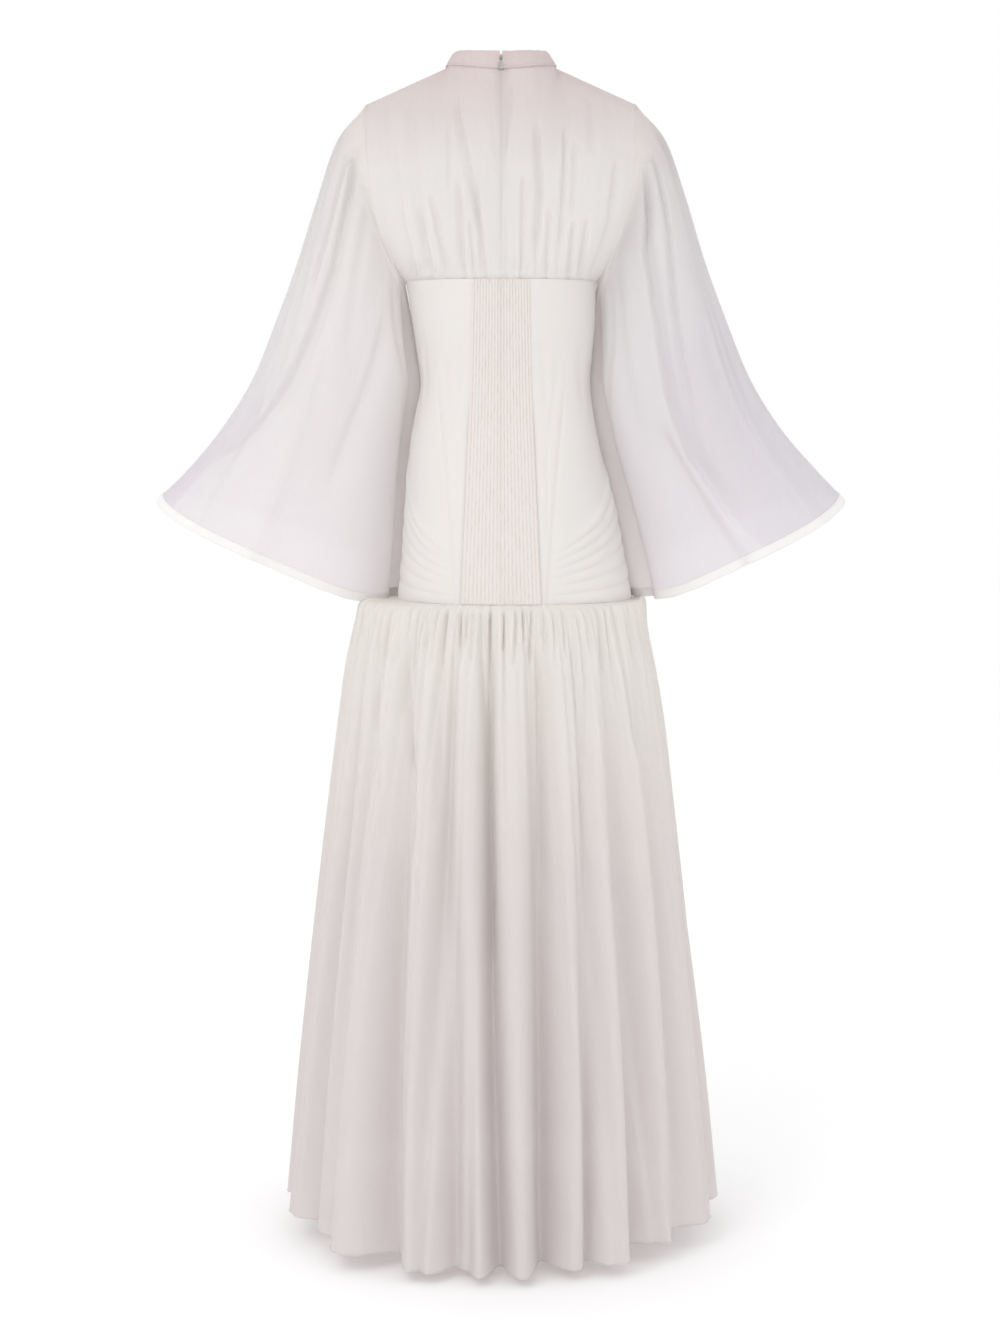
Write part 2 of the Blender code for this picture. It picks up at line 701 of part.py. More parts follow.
def sleeve_form(rings, side):
    """A sleeve's smooth form: turn round it in degrees from the shoulder line, place down it."""
    slopes = {}

    def ring_point(turn_deg, number):
        if number == 0:
            return armhole(turn_deg, side)
        ring = along(rings, number)
        turn = math.radians(turn_deg)
        outer = np.array((side * ring.outer_x, ring.outer_y, ring.outer_z))
        inner = np.array((side * ring.inner_x, ring.inner_y, ring.inner_z))
        half = (outer - inner) / 2
        sine = math.sin(turn)
        depth = ring.back if sine > 0 else ring.front
        sag = ring.sag_back if sine > 0 else ring.sag_front
        across_ring = np.array((0.0, depth * sine, -sag * abs(sine)))
        return (outer + inner) / 2 + half * math.cos(turn) + across_ring

    def point(turn_deg, place):
        before = int(min(max(math.floor(place), 0), 7))
        t = place - before
        a = ring_point(turn_deg, before)
        b = ring_point(turn_deg, before + 1)
        slope_a = (b - ring_point(turn_deg, before - 1)) / 2 if before > 0 else b - a
        slope_b = (ring_point(turn_deg, before + 2) - a) / 2 if before < 7 else b - a
        return ((2 * t**3 - 3 * t**2 + 1) * a + (t**3 - 2 * t**2 + t) * slope_a
                + (3 * t**2 - 2 * t**3) * b + (t**3 - t**2) * slope_b)

    return point


def sleeve_surface(form, side):
    """The sleeve's folded surface, and the way to its inside, at a turn and a place down it."""
    def surface(turn_deg, place):
        base = form(turn_deg, place)
        round_it = form(turn_deg + 2, place) - form(turn_deg - 2, place)
        down_it = form(turn_deg, place + 0.02) - form(turn_deg, max(place - 0.02, 0))
        normal = unit(np.cross(down_it, round_it)) * side
        ease = place / 8
        sink = valleys(SLEEVE_FOLDS, turn_deg, ease) * min(1.0, ease * 1.4)
        return base - normal * sink, -normal
    return surface


def sleeve(rings, side, name):
    form = sleeve_form(rings, side)
    surface = sleeve_surface(form, side)
    outer = np.zeros((len(SLEEVE_RINGS), SLEEVE_COLUMNS, 3))
    inner = np.zeros_like(outer)
    for j in range(SLEEVE_COLUMNS):
        turn = 360 * j / SLEEVE_COLUMNS
        for i, place in enumerate(SLEEVE_RINGS):
            outer[i, j], inward = surface(turn, place)
            inner[i, j] = outer[i, j] + inward * CHIFFON
        seam, inward, seam_way = armhole_chord(turn, side, unit(inner[1, j] - outer[1, j]))
        off_seam = outer[1, j] - seam
        off_seam -= seam_way * np.dot(off_seam, seam_way)
        under_arm = math.sin(math.radians(turn) / 2) ** 4
        outer[0, j] = seam + unit(off_seam) * toward(SEAM, UNDERARM_EASE, under_arm)
        inner[0, j] = outer[0, j] + inward * CHIFFON
    wall(name, CHIFFON_FINISH, outer, inner, closed=True)
    return outer, inner


def sleeve_binding(sleeve_outer, sleeve_inner, name):
    """The satin band that binds a sleeve's hem, a little thicker than the sleeve."""
    rows = (SEAM, SLEEVE_BINDING_WIDTH)
    outer = np.zeros((len(rows), SLEEVE_COLUMNS, 3))
    inner = np.zeros_like(outer)
    for j in range(SLEEVE_COLUMNS):
        fall = unit(sleeve_outer[-1, j] - sleeve_outer[-2, j])
        through = unit(sleeve_inner[-1, j] - sleeve_outer[-1, j])
        proud = (BINDING - CHIFFON) / 2
        for i, length in enumerate(rows):
            outer[i, j] = sleeve_outer[-1, j] + fall * length - through * proud
            inner[i, j] = outer[i, j] + through * BINDING
    return wall(name, SATIN_FINISH, outer, inner, closed=True)


# Skirt

def skirt_hem(angle):
    lift = math.sin(angle)
    drop = SKIRT_DROP_BACK if lift > 0 else SKIRT_DROP_FRONT
    return SKIRT_HEM_SIDE - drop * lift**2


def skirt_point(angle, share):
    """A point on the skirt's folded surface and the level way to its inside."""
    height = toward(CORSET_HEM - SEAM, skirt_hem(angle), share)
    across, out = oval(along(SKIRT, height), angle)
    outward = unit(np.array((across, out, 0.0)))
    opened = min(1.0, share * 12)
    gather = toward(SKIRT_GATHER_DEPTH, SKIRT_GATHER_AT_HEM, share) * (0.25 + 0.75 * opened)
    ripple = gather * (math.cos(SKIRT_GATHERS * angle) - 1)
    sink = valleys(SKIRT_FOLDS, math.degrees(angle), share ** 0.75) * share ** SKIRT_FOLD_GROWTH
    return np.array((across, out, height)) + outward * (ripple - sink), -outward


def skirt_panel(name, start_deg, end_deg):
    """A skirt panel between two seams, with two columns to each gather."""
    per_degree = 2 * SKIRT_GATHERS / 360
    columns = round((end_deg - start_deg) * per_degree) + 1
    outer = np.zeros((len(SKIRT_ROWS), columns, 3))
    inner = np.zeros_like(outer)
    for i, share in enumerate(SKIRT_ROWS):
        for j in range(columns):
            angle = math.radians(toward(start_deg, end_deg, j / (columns - 1)))
            outer[i, j], inward = skirt_point(angle, share)
            if j in (0, columns - 1):
                way = 1 if j == 0 else -1
                outer[i, j] += np.array((inward[1], -inward[0], 0.0)) * SEAM / 2 * way
            inner[i, j] = outer[i, j] + inward * GATHERED_CHIFFON
    level_edges(outer, inner)
    return wall(name, CHIFFON_FINISH, outer, inner)


# Zip

def zip_tape(name):
    """The closed zip behind the centre-back edges, as one strip that follows the back's line."""
    base = neckline(math.pi / 2)
    edge = collar_edge(math.pi / 2)
    rise = (ZIP_TAPE_TOP - base[2]) / (edge[2] - base[2])
    line = [(toward(base[1], edge[1], rise), ZIP_TAPE_TOP), (base[1], base[2])]
    for v in YOKE_ROWS[1:]:
        height = toward(base[2], CORSET_TOP, v)
        line.append((along(CENTRE_BACK, height).reach, height))
    for height in CORSET_HEIGHTS[1:7] + (ZIP_BOTTOM,):
        line.append((on_chord(lambda main: math.pi / 2, height)[0][1], height))
    half = ZIP_TAPE_WIDTH / 2
    outer = np.zeros((len(line), 3, 3))
    inner = np.zeros_like(outer)
    for i, (reach, height) in enumerate(line):
        for j, across in enumerate((half, 0.0, -half)):
            outer[i, j] = (across, reach - ZIP_TAPE_BEHIND_CLOTH, height)
            inner[i, j] = (across, reach - ZIP_TAPE_BEHIND_CLOTH - ZIP_TAPE_THICKNESS, height)
    return wall(name, TAPE_FINISH, outer, inner)


def collar_lean():
    """How far the collar leans in at the back, and the pull's axis on its outer face."""
    base = neckline(math.pi / 2)
    edge = collar_edge(math.pi / 2)
    lean = math.atan2(base[1] - edge[1], edge[2] - base[2])
    share = (PULL_AXIS_HEIGHT - base[2]) / (edge[2] - base[2])
    axis = Vector((0.0, toward(base[1], edge[1], share) + PULL_AXIS_OFF_COLLAR, PULL_AXIS_HEIGHT))
    return lean, axis


def flat_shape(name, outlines, thickness):
    """A flat plate with holes, from closed outlines in its own plane, as a mesh."""
    curve = bpy.data.curves.new(name, "CURVE")
    curve.dimensions = "2D"
    curve.fill_mode = "BOTH"
    curve.extrude = thickness / 2
    for outline in outlines:
        spline = curve.splines.new("POLY")
        spline.points.add(len(outline) - 1)
        for point, (x, y) in zip(spline.points, outline):
            point.co = (x, y, 0.0, 1.0)
        spline.use_cyclic_u = True
    drawn = bpy.data.objects.new(name, curve)
    gown.objects.link(drawn)
    evaluated = drawn.evaluated_get(bpy.context.evaluated_depsgraph_get())
    mesh = bpy.data.meshes.new_from_object(evaluated)
    bpy.data.objects.remove(drawn)
    bpy.data.curves.remove(curve)
    body = bmesh.new()
    body.from_mesh(mesh)
    bmesh.ops.remove_doubles(body, verts=body.verts, dist=0.000001)
    bmesh.ops.recalc_face_normals(body, faces=body.faces)
    body.to_mesh(mesh)
    body.free()
    return bpy.data.objects.new(name, mesh)


def box_outline(left, bottom, right, top):
    return ((left, bottom), (right, bottom), (right, top), (left, top))


def zip_slider(name):
    """The slider's body behind the collar's edges, and the bridge that comes out between them."""
    lean, axis = collar_lean()
    place = Matrix.Translation(axis) @ Matrix.Rotation(lean, 4, "X")
    body_middle_out = -0.0048
    bpy.ops.mesh.primitive_cube_add(size=1)
    body = bpy.context.active_object
    body.name = name
    body.data.transform(Matrix.Translation((0, body_middle_out, -0.0002))
                        @ Matrix.Diagonal((0.0046, 0.0018, 0.0092, 1)))
    bevel = body.modifiers.new("rounded", "BEVEL")
    bevel.width = 0.0004
    bevel.segments = 2

    outline = box_outline(-0.0050, -0.0029, 0.0019, 0.0029)
    eye = box_outline(-0.00105, -0.0019, 0.00105, 0.0019)
    bridge = flat_shape("zip_bridge_cutter", (outline, eye), BRIDGE_WIDTH)
    upright = Matrix(((0, 0, 1, 0), (1, 0, 0, 0), (0, 1, 0, 0), (0, 0, 0, 1)))
    bridge.data.transform(upright)
    tools.objects.link(bridge)
    bridge.hide_render = True
    bridge.display_type = "WIRE"
    join = body.modifiers.new("bridge", "BOOLEAN")
    join.operation = "UNION"
    join.object = bridge
    body.matrix_world = place
    bridge.matrix_world = place
    return finish(body, METAL_FINISH)


def zip_pull(name):
    """The pull tab, which hangs by its eye from the bridge and rests against the cloth."""
    lean, axis = collar_lean()
    shoulder = 0.0021
    arc_middle = -PULL_LENGTH + PULL_HALF_WIDTH * 0.8
    outline = [(-shoulder, PULL_BAR / 2), (-shoulder, -PULL_EYE_LENGTH - 0.0012)]
    for step in range(13):
        turn = math.pi + math.pi * step / 12
        outline.append((PULL_HALF_WIDTH * math.cos(turn),
                        arc_middle + PULL_HALF_WIDTH * 0.8 * math.sin(turn)))
    outline += [(shoulder, -PULL_EYE_LENGTH - 0.0012), (shoulder, PULL_BAR / 2)]
    eye = box_outline(-PULL_EYE_HALF_WIDTH, -PULL_BAR / 2 - PULL_EYE_LENGTH,
                      PULL_EYE_HALF_WIDTH, -PULL_BAR / 2)
    tab = flat_shape(name, (outline, eye), PULL_THICKNESS)
    upright = Matrix.Rotation(math.pi / 2, 4, "X")
    tab.data.transform(upright)
    tab.matrix_world = Matrix.Translation(axis) @ Matrix.Rotation(PULL_REST_TILT, 4, "X")
    return finish(tab, METAL_FINISH)


# Finishes: colour, roughness and metallic value
CHIFFON_FINISH = ((0.78, 0.75, 0.75), 0.85)
CREPE_FINISH = ((0.83, 0.80, 0.77), 0.75)
SATIN_FINISH = ((0.86, 0.84, 0.81), 0.45)
TAPE_FINISH = ((0.80, 0.77, 0.74), 0.80)
METAL_FINISH = ((0.66, 0.64, 0.64), 0.35, 1.0)

for leftover in list(bpy.data.objects):
    bpy.data.objects.remove(leftover, do_unlink=True)
gown = bpy.data.collections.new("gown")
tools = bpy.data.collections.new("cutters")
for collection in (gown, tools):
    bpy.context.scene.collection.children.link(collection)

stand_collar("collar")
for side, word in ((1, "left"), (-1, "right")):
    back_yoke(side, "yoke_back_" + word)
    back_tuck_panel(side, "corset_tucks_" + word)
    back_dart_panel(side, "corset_back_" + word)
    side_panel(side, "corset_side_" + word)
    rings = LEFT_SLEEVE if side > 0 else RIGHT_SLEEVE
    edges = sleeve(rings, side, "sleeve_" + word)
    sleeve_binding(*edges, "sleeve_binding_" + word)
front_yoke("yoke_front")
front_panel("corset_front")
skirt_panel("skirt_back_left", 0, 90)
skirt_panel("skirt_back_right", 90, 180)
skirt_panel("skirt_front", 180, 360)
zip_tape("zip_tape")
zip_slider("zip_slider")
zip_pull("zip_pull")
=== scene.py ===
# %% [markdown]
# # A floor-length gown seen from behind
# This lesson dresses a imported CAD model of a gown: a stand collar, a gathered sheer yoke, cape
# sleeves, a corset bodice with fine tucks and a gathered chiffon skirt. The CAD walls are thick
# and plain, so each one is replaced by a thin sheet of cloth on the same form, with its creases,
# its edges and a cloth material. Lengths are in metres, the zip faces +Y and +Z is up.

import math
from types import SimpleNamespace

import bpy
import bmesh
import numpy as np
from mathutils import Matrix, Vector


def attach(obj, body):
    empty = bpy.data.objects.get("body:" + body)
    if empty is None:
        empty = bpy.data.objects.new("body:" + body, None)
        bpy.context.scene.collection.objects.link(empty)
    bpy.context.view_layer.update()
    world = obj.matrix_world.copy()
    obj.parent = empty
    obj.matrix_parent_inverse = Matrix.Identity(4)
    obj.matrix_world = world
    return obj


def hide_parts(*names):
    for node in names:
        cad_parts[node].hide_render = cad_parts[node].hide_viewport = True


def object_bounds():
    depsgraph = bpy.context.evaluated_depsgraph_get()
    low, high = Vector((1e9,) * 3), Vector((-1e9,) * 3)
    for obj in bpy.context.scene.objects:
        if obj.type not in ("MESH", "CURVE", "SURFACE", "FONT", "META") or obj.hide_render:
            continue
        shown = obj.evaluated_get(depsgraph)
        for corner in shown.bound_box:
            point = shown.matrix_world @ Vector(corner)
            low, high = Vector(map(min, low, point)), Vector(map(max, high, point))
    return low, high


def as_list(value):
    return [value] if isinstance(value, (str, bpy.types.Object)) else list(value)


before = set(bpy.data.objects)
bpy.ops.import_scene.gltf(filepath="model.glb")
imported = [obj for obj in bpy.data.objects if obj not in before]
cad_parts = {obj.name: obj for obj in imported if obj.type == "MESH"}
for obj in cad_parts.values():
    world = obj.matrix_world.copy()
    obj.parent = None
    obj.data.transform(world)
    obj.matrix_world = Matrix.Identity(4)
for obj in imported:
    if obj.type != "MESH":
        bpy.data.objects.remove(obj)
cad_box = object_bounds()
for thing in bpy.context.selected_objects:
    thing.select_set(False)
print("nodes:", len(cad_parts))

# %% [markdown]
# ## The camera
# The photograph was taken from behind, a little above the middle of the gown and far enough away
# that its lines stay nearly upright. A long lens 3 m away, tipped down 5.8 degrees, gives that.

# %% Camera
camera_data = bpy.data.cameras.new("camera")
camera_data.sensor_fit = "VERTICAL"
camera_data.sensor_height = 36.0
camera_data.lens = 62.74
camera = bpy.data.objects.new("camera", camera_data)
camera.location = (0.0013, 3.0, -0.4414)
camera.rotation_euler = (math.radians(90 - 5.8), 0, math.radians(180))
bpy.context.scene.collection.objects.link(camera)
bpy.context.scene.camera = camera

# %% [markdown]
# ## Tables and curves
# A form is worked out from a few named sizes at a few heights. A table keeps them as rows, and a
# smooth curve runs through each column, the way a pattern cutter's curve runs through marks.

# %% Tables and curves
def table(heads, *rows):
    """Rows with named columns, and the slope of each column along the first one."""
    values = np.array(rows, float)
    return SimpleNamespace(
        heads=heads.split(), values=values, slopes=np.gradient(values, values[:, 0], axis=0)
    )


def between(rows, slopes, row, t, span=1.0):
    """A smooth curve from a row to the next at shares t, which keeps the slopes of both."""
    return ((2 * t**3 - 3 * t**2 + 1) * rows[row] + (t**3 - 2 * t**2 + t) * span * slopes[row]
            + (3 * t**2 - 2 * t**3) * rows[row + 1] + (t**3 - t**2) * span * slopes[row + 1])


def along(rows, places):
    """Every column where the first one reaches each place, on a smooth curve."""
    keys = rows.values[:, 0]
    way = 1 if keys[-1] > keys[0] else -1
    places = np.asarray(places, float)
    row = np.clip(np.searchsorted(keys * way, places * way) - 1, 0, len(keys) - 2)
    span = keys[row + 1] - keys[row]
    t = ((places - keys[row]) / span)[..., None]
    values = between(rows.values, rows.slopes, row, t, span[..., None])
    return SimpleNamespace(**{head: values[..., i] for i, head in enumerate(rows.heads)})


def toward(start, end, share):
    return start + (end - start) * share


def ease(share):
    """A share from 0 to 1 that starts and stops softly."""
    share = np.clip(share, 0.0, 1.0)
    return share * share * (3 - 2 * share)


def bell(distance):
    """One at no distance, and nearly nothing beyond two."""
    return np.exp(-(distance ** 2))


def unit(vectors):
    return vectors / np.maximum(np.linalg.norm(vectors, axis=-1, keepdims=True), 1e-12)


def stack(x, y, z):
    return np.stack(np.broadcast_arrays(x, y, z), axis=-1)


ROUNDNESS = 2.3


def oval(ring, angle):
    """Points across and out on a rounded oval with its own reach to each of four sides."""
    across, out = np.cos(angle), np.sin(angle)
    half_width = np.where(across >= 0, ring.left, ring.right)
    depth = np.where(out >= 0, ring.back, ring.front)
    reach = ((np.abs(across) / half_width) ** ROUNDNESS
             + (np.abs(out) / depth) ** ROUNDNESS) ** (-1 / ROUNDNESS)
    return reach * across, reach * out


# %% [markdown]
# ## Cloth as a thin sheet
# A sheet starts as a grid of points, with one side outward. It gets a UV map in real metres of
# cloth, so that a weave keeps its scale, then a Solidify modifier gives it its thin edge. That
# edge is marked sharp, because shading that is smoothed over it shows as a dark line at a seam.

# %% Sheets
CHIFFON_THICKNESS = 0.0005
CREPE_THICKNESS = 0.0009
SHARP_EDGE = math.radians(70)


def outward_of(points, closed=False):
    """Unit normals of a grid whose rows run down and whose columns run round."""
    if closed:
        round_it = np.roll(points, -1, axis=1) - np.roll(points, 1, axis=1)
    else:
        round_it = np.gradient(points, axis=1)
    return unit(np.cross(np.gradient(points, axis=0), round_it))


def apply_modifiers(piece):
    """Applies every modifier, as the button in the modifier panel does."""
    bpy.context.view_layer.objects.active = piece
    for modifier in list(piece.modifiers):
        bpy.ops.object.modifier_apply(modifier=modifier.name)


def cloth_lengths(points, closed=False):
    """Distance along the cloth of each point, across its row and down its column."""
    ends = np.concatenate([points, points[:, :1]], axis=1) if closed else points
    steps = np.linalg.norm(np.diff(ends, axis=1), axis=-1)
    across = np.concatenate([np.zeros((len(points), 1)), np.cumsum(steps, axis=1)], axis=1)
    steps = np.linalg.norm(np.diff(ends, axis=0), axis=-1)
    down = np.concatenate([np.zeros((1, ends.shape[1])), np.cumsum(steps, axis=0)], axis=0)
    return across, down


def print_cut(name, points, closed=False):
    """Prints the width, length and area of the cloth in a grid, for the sheet's stated cut."""
    across, down = cloth_lengths(points, closed)
    ends = np.concatenate([points, points[:, :1]], axis=1) if closed else points
    a = ends[1:, :-1] - ends[:-1, :-1]
    b = ends[:-1, 1:] - ends[:-1, :-1]
    c = ends[1:, 1:] - ends[:-1, 1:]
    d = ends[1:, 1:] - ends[1:, :-1]
    area = (np.linalg.norm(np.cross(a, b), axis=-1) + np.linalg.norm(np.cross(c, d), axis=-1)) / 2
    sizes = float(across[:, -1].max()), float(down[-1].max()), float(area.sum())
    print(name, [round(size, 3) for size in sizes])


def sheet_mesh(name, points, thickness, material, closed=False, tint=None):
    """A sheet of cloth through a grid of points, which lies on the side that faces out."""
    rows, columns = points.shape[:2]
    steps = columns if closed else columns - 1
    first = (np.arange(rows - 1)[:, None] * columns + np.arange(steps)[None, :])
    after = (np.arange(rows - 1)[:, None] * columns + (np.arange(steps) + 1)[None, :] % columns)
    quads = np.stack([first, first + columns, after + columns, after], axis=-1).reshape(-1, 4)
    mesh = bpy.data.meshes.new(name)
    mesh.from_pydata(points.reshape(-1, 3).tolist(), [], quads.tolist())
    across, down = cloth_lengths(points, closed)
    row, column = np.meshgrid(np.arange(rows - 1), np.arange(steps), indexing="ij")
    corners = [(row, column), (row + 1, column), (row + 1, column + 1), (row, column + 1)]
    cloth = np.stack([np.stack([across[corner], down[corner]], axis=-1) for corner in corners],
                     axis=2)
    layer = mesh.uv_layers.new(name="cloth")
    layer.data.foreach_set("uv", cloth.reshape(-1).astype(np.float32))
    mesh.materials.append(material)
    mesh.shade_smooth()
    # Painted shade goes on as a colour attribute at each point, which darkens the sheet.
    if tint is not None:
        colours = mesh.color_attributes.new("tint", "FLOAT_COLOR", "POINT")
        opaque = np.concatenate([tint, np.ones((rows, columns, 1))], axis=-1)
        colours.data.foreach_set("color", opaque.reshape(-1).astype(np.float32))
    piece = bpy.data.objects.new(name, mesh)
    bpy.context.scene.collection.objects.link(piece)
    if thickness:
        print_cut(name, points, closed)
        wall = piece.modifiers.new("thickness", "SOLIDIFY")
        wall.thickness = thickness
        wall.offset = -1.0
        apply_modifiers(piece)
        mesh.set_sharp_from_angle(angle=SHARP_EDGE)
    return piece


def weld(piece):
    """Joins the doubled points of a rounded grid, closes its ends and turns its faces outward."""
    body = bmesh.new()
    body.from_mesh(piece.data)
    bmesh.ops.remove_doubles(body, verts=body.verts, dist=1e-7)
    bmesh.ops.holes_fill(body, edges=body.edges)
    bmesh.ops.recalc_face_normals(body, faces=body.faces)
    body.to_mesh(piece.data)
    body.free()
    return piece


# %% [markdown]
# ## Creases
# Sheer cloth that is gathered into a seam shows soft troughs that start deep at the stitches and
# fade as the cloth opens. The large ones are listed in tables. The fine ones between them
# come from a seeded list, so that they are uneven in place, depth and length, and always the same.

# %% Creases
def apart_from(line, across, turn=None):
    """The distance from a line, the shorter way round where the sheet is a tube of this turn."""
    apart = across - line
    return (apart + turn / 2) % turn - turn / 2 if turn else apart


def fading(share, start, end, rate):
    """Fades a fold in and out at its ends, unless an end lies on the cloth's own edge."""
    return ease(share * rate + (start <= 0)) * ease((1 - share) * 4 + (end >= 1))


def creases(rows, across, down, turn=None):
    """How far placed creases sink a sheet. Each runs from one place across at its top to another
    at its foot, with a depth, a width, and the two places down where it starts and ends."""
    sink = np.zeros(np.broadcast(across, down).shape)
    for top, foot, start, end, depth, width in rows:
        share = (down - start) / (end - start)
        apart = apart_from(toward(top, foot, ease(share)), across, turn)
        sink += depth * bell(apart / width) * fading(share, start, end, 5)
    return sink


def drawn_folds(rows, across, down, turn=None):
    """How far folds sink a sheet that follow a drawn line. A row gives the places down the line,
    the places across at each, a depth, a width, and how much steeper one flank is."""
    sink = np.zeros(np.broadcast(across, down).shape)
    for places, line, depth, width, lean in rows:
        apart = apart_from(np.interp(down, places, line), across, turn)
        flank = width * (1 + lean * np.tanh(apart / width * 2))
        share = (down - places[0]) / (places[-1] - places[0])
        sink += depth * bell(apart / flank) * fading(share, places[0], places[-1], 6)
    return sink


def gathers(count, seed, across, down, depth, width, length, turn=None, span=(0.0, 1.0)):
    """How far fine gathers sink a sheet below the seam at its top, each in its own measure."""
    chance = np.random.default_rng(seed)
    size = (span[1] - span[0]) / count
    sink = np.zeros(np.broadcast(across, down).shape)
    for number in range(count):
        place = span[0] + (number + chance.uniform(0.1, 0.9)) * size
        shade_by_height = chance.normal(0, 0.35) * size
        own_depth = depth * chance.uniform(0.35, 1.25)
        own_width = width * chance.uniform(0.6, 1.3)
        own_length = length * chance.uniform(0.35, 1.6)
        share = down / own_length
        apart = apart_from(place + shade_by_height * share, across, turn)
        open_width = own_width * (1 + 1.2 * np.clip(share, 0, 1))
        sink += own_depth * bell(apart / open_width) * bell(share)
    return sink


# %% [markdown]
# ## Colours and nodes
# Colours are read off as sRGB hex values and turned to the linear values that Blender shades
# with. One small helper adds a node with its settings and links, so a material reads as a list,
# and a few shorter ones call it for the nodes that every cloth needs.

# %% Colours and nodes
def linear(hex_colour):
    """An sRGB hex colour as linear red, green, blue and a full alpha."""
    parts = [int(hex_colour[i:i + 2], 16) / 255 for i in (1, 3, 5)]
    return [p / 12.92 if p <= 0.04045 else ((p + 0.055) / 1.055) ** 2.4 for p in parts] + [1.0]


def node(tree, kind, sockets=None, **settings):
    """Adds a node, and gives its sockets their values or their links."""
    made = tree.nodes.new(kind)
    for key, value in settings.items():
        setattr(made, key, value)
    for socket, value in (sockets or {}).items():
        if isinstance(value, bpy.types.NodeSocket):
            tree.links.new(value, made.inputs[socket])
        else:
            made.inputs[socket].default_value = value
    return made


def blank_material(name):
    material = bpy.data.materials.new(name)
    material.use_nodes = True
    material.node_tree.nodes.clear()
    return material, material.node_tree


def cloth_place(tree):
    """Where a point lies on its cloth, in metres across and down."""
    return node(tree, "ShaderNodeUVMap", uv_map="cloth").outputs["UV"]


def scaled(tree, place, *scale):
    return node(tree, "ShaderNodeMapping", {"Vector": place, "Scale": scale}).outputs[0]


def noise(tree, place, scale, detail=2.0, roughness=0.5):
    """A cloudy pattern with one grey value at each place."""
    return node(tree, "ShaderNodeTexNoise", {
        "Vector": place, "Scale": scale, "Detail": detail, "Roughness": roughness}).outputs["Fac"]


def bump(tree, height, strength, distance, under=None):
    """A relief on the surface, on top of another relief where there is one."""
    sockets = {"Height": height, "Strength": strength, "Distance": distance}
    if under is not None:
        sockets["Normal"] = under
    return node(tree, "ShaderNodeBump", sockets).outputs[0]


def face(tree, colour, roughness, relief, **looks):
    """The face of a surface. Further looks are named as its sockets, with _ for each space."""
    sockets = {"Base Color": colour, "Roughness": roughness, "Normal": relief}
    sockets.update({socket.replace("_", " "): value for socket, value in looks.items()})
    return node(tree, "ShaderNodeBsdfPrincipled", sockets).outputs[0]


def show(tree, shader):
    node(tree, "ShaderNodeOutputMaterial", {"Surface": shader})


# %% [markdown]
# ## Chiffon
# Chiffon is a plain weave of fine twisted threads about 0.2 mm apart. Light comes through it, so
# the shader mixes a matt face with translucency and clear openings between the threads. Each
# sheet has two faces, so the clear share of the cloth is the square of one face's share. The
# threads can't show from 3 m away, so the bump draws what does: fine upright crinkles about 4 mm
# apart where the twist pulls the cloth, and a weave drawn six times too coarse.

# %% Chiffon
CRINKLE_SPACING = 0.0042
CRINKLE_LENGTH = 0.070
THREAD_SPACING = 0.0012


def chiffon(name, stops, openness, crinkle, shade_tinted=False):
    """A sheer woven cloth whose crinkles run down its UV map. Its tone drifts through its stops,
    each a height and a colour of painted shade, and wavers a little. Tinted cloth also takes
    painted shade from its attribute."""
    material, tree = blank_material(name)
    cloth = cloth_place(tree)
    stretched = scaled(tree, cloth, 1 / CRINKLE_SPACING, 1 / CRINKLE_LENGTH, 1.0)
    crinkles = noise(tree, stretched, 1.0, detail=3.0, roughness=0.55)
    woven = scaled(tree, cloth, 1 / THREAD_SPACING, 1 / THREAD_SPACING, 1.0)
    threads = noise(tree, woven, 1.0, detail=1.0)
    place = node(tree, "ShaderNodeTexCoord").outputs["Object"]
    height = node(tree, "ShaderNodeSeparateXYZ", {"Vector": place}).outputs["Z"]
    highest, lowest = stops[0][0], stops[-1][0]
    shade_by_height = node(tree, "ShaderNodeMapRange", {
        "Value": height, "From Min": lowest, "From Max": highest})
    waver = node(tree, "ShaderNodeMath", {
        0: noise(tree, cloth, 9.0), 1: 0.2, 2: -0.10}, operation="MULTIPLY_ADD")
    share = node(tree, "ShaderNodeMath", {
        0: shade_by_height.outputs[0], 1: waver.outputs[0]}, operation="ADD", use_clamp=True)
    ramp = node(tree, "ShaderNodeValToRGB", {"Fac": share.outputs[0]})
    colours = ramp.color_ramp.elements
    colours[0].color, colours[1].color = linear(stops[-1][1]), linear(stops[0][1])
    for stop, colour in stops[1:-1]:
        colours.new((stop - lowest) / (highest - lowest)).color = linear(colour)
    tone = ramp.outputs[0]
    # Painted shade from the mesh's colour attribute darkens the tone.
    if shade_tinted:
        painted_shade = node(tree, "ShaderNodeAttribute", attribute_name="tint").outputs["Color"]
        tone = node(tree, "ShaderNodeMix", {"Factor": 1.0, 6: tone, 7: painted_shade},
                    data_type="RGBA", blend_type="MULTIPLY").outputs[2]
    relief = bump(tree, threads, strength=0.10, distance=0.0003)
    relief = bump(tree, crinkles, strength=crinkle, distance=0.0022, under=relief)
    reflecting = face(tree, tone, 0.78, relief, Sheen_Weight=0.06, Sheen_Roughness=0.45,
                      Specular_IOR_Level=0.20)
    through = node(tree, "ShaderNodeBsdfTranslucent", {"Color": tone, "Normal": relief})
    lit = node(tree, "ShaderNodeMixShader", {"Fac": 0.45, 1: reflecting, 2: through.outputs[0]})
    clear = node(tree, "ShaderNodeBsdfTransparent")
    sheer = node(tree, "ShaderNodeMixShader", {
        "Fac": openness, 1: lit.outputs[0], 2: clear.outputs[0]})
    show(tree, sheer.outputs[0])
    return material
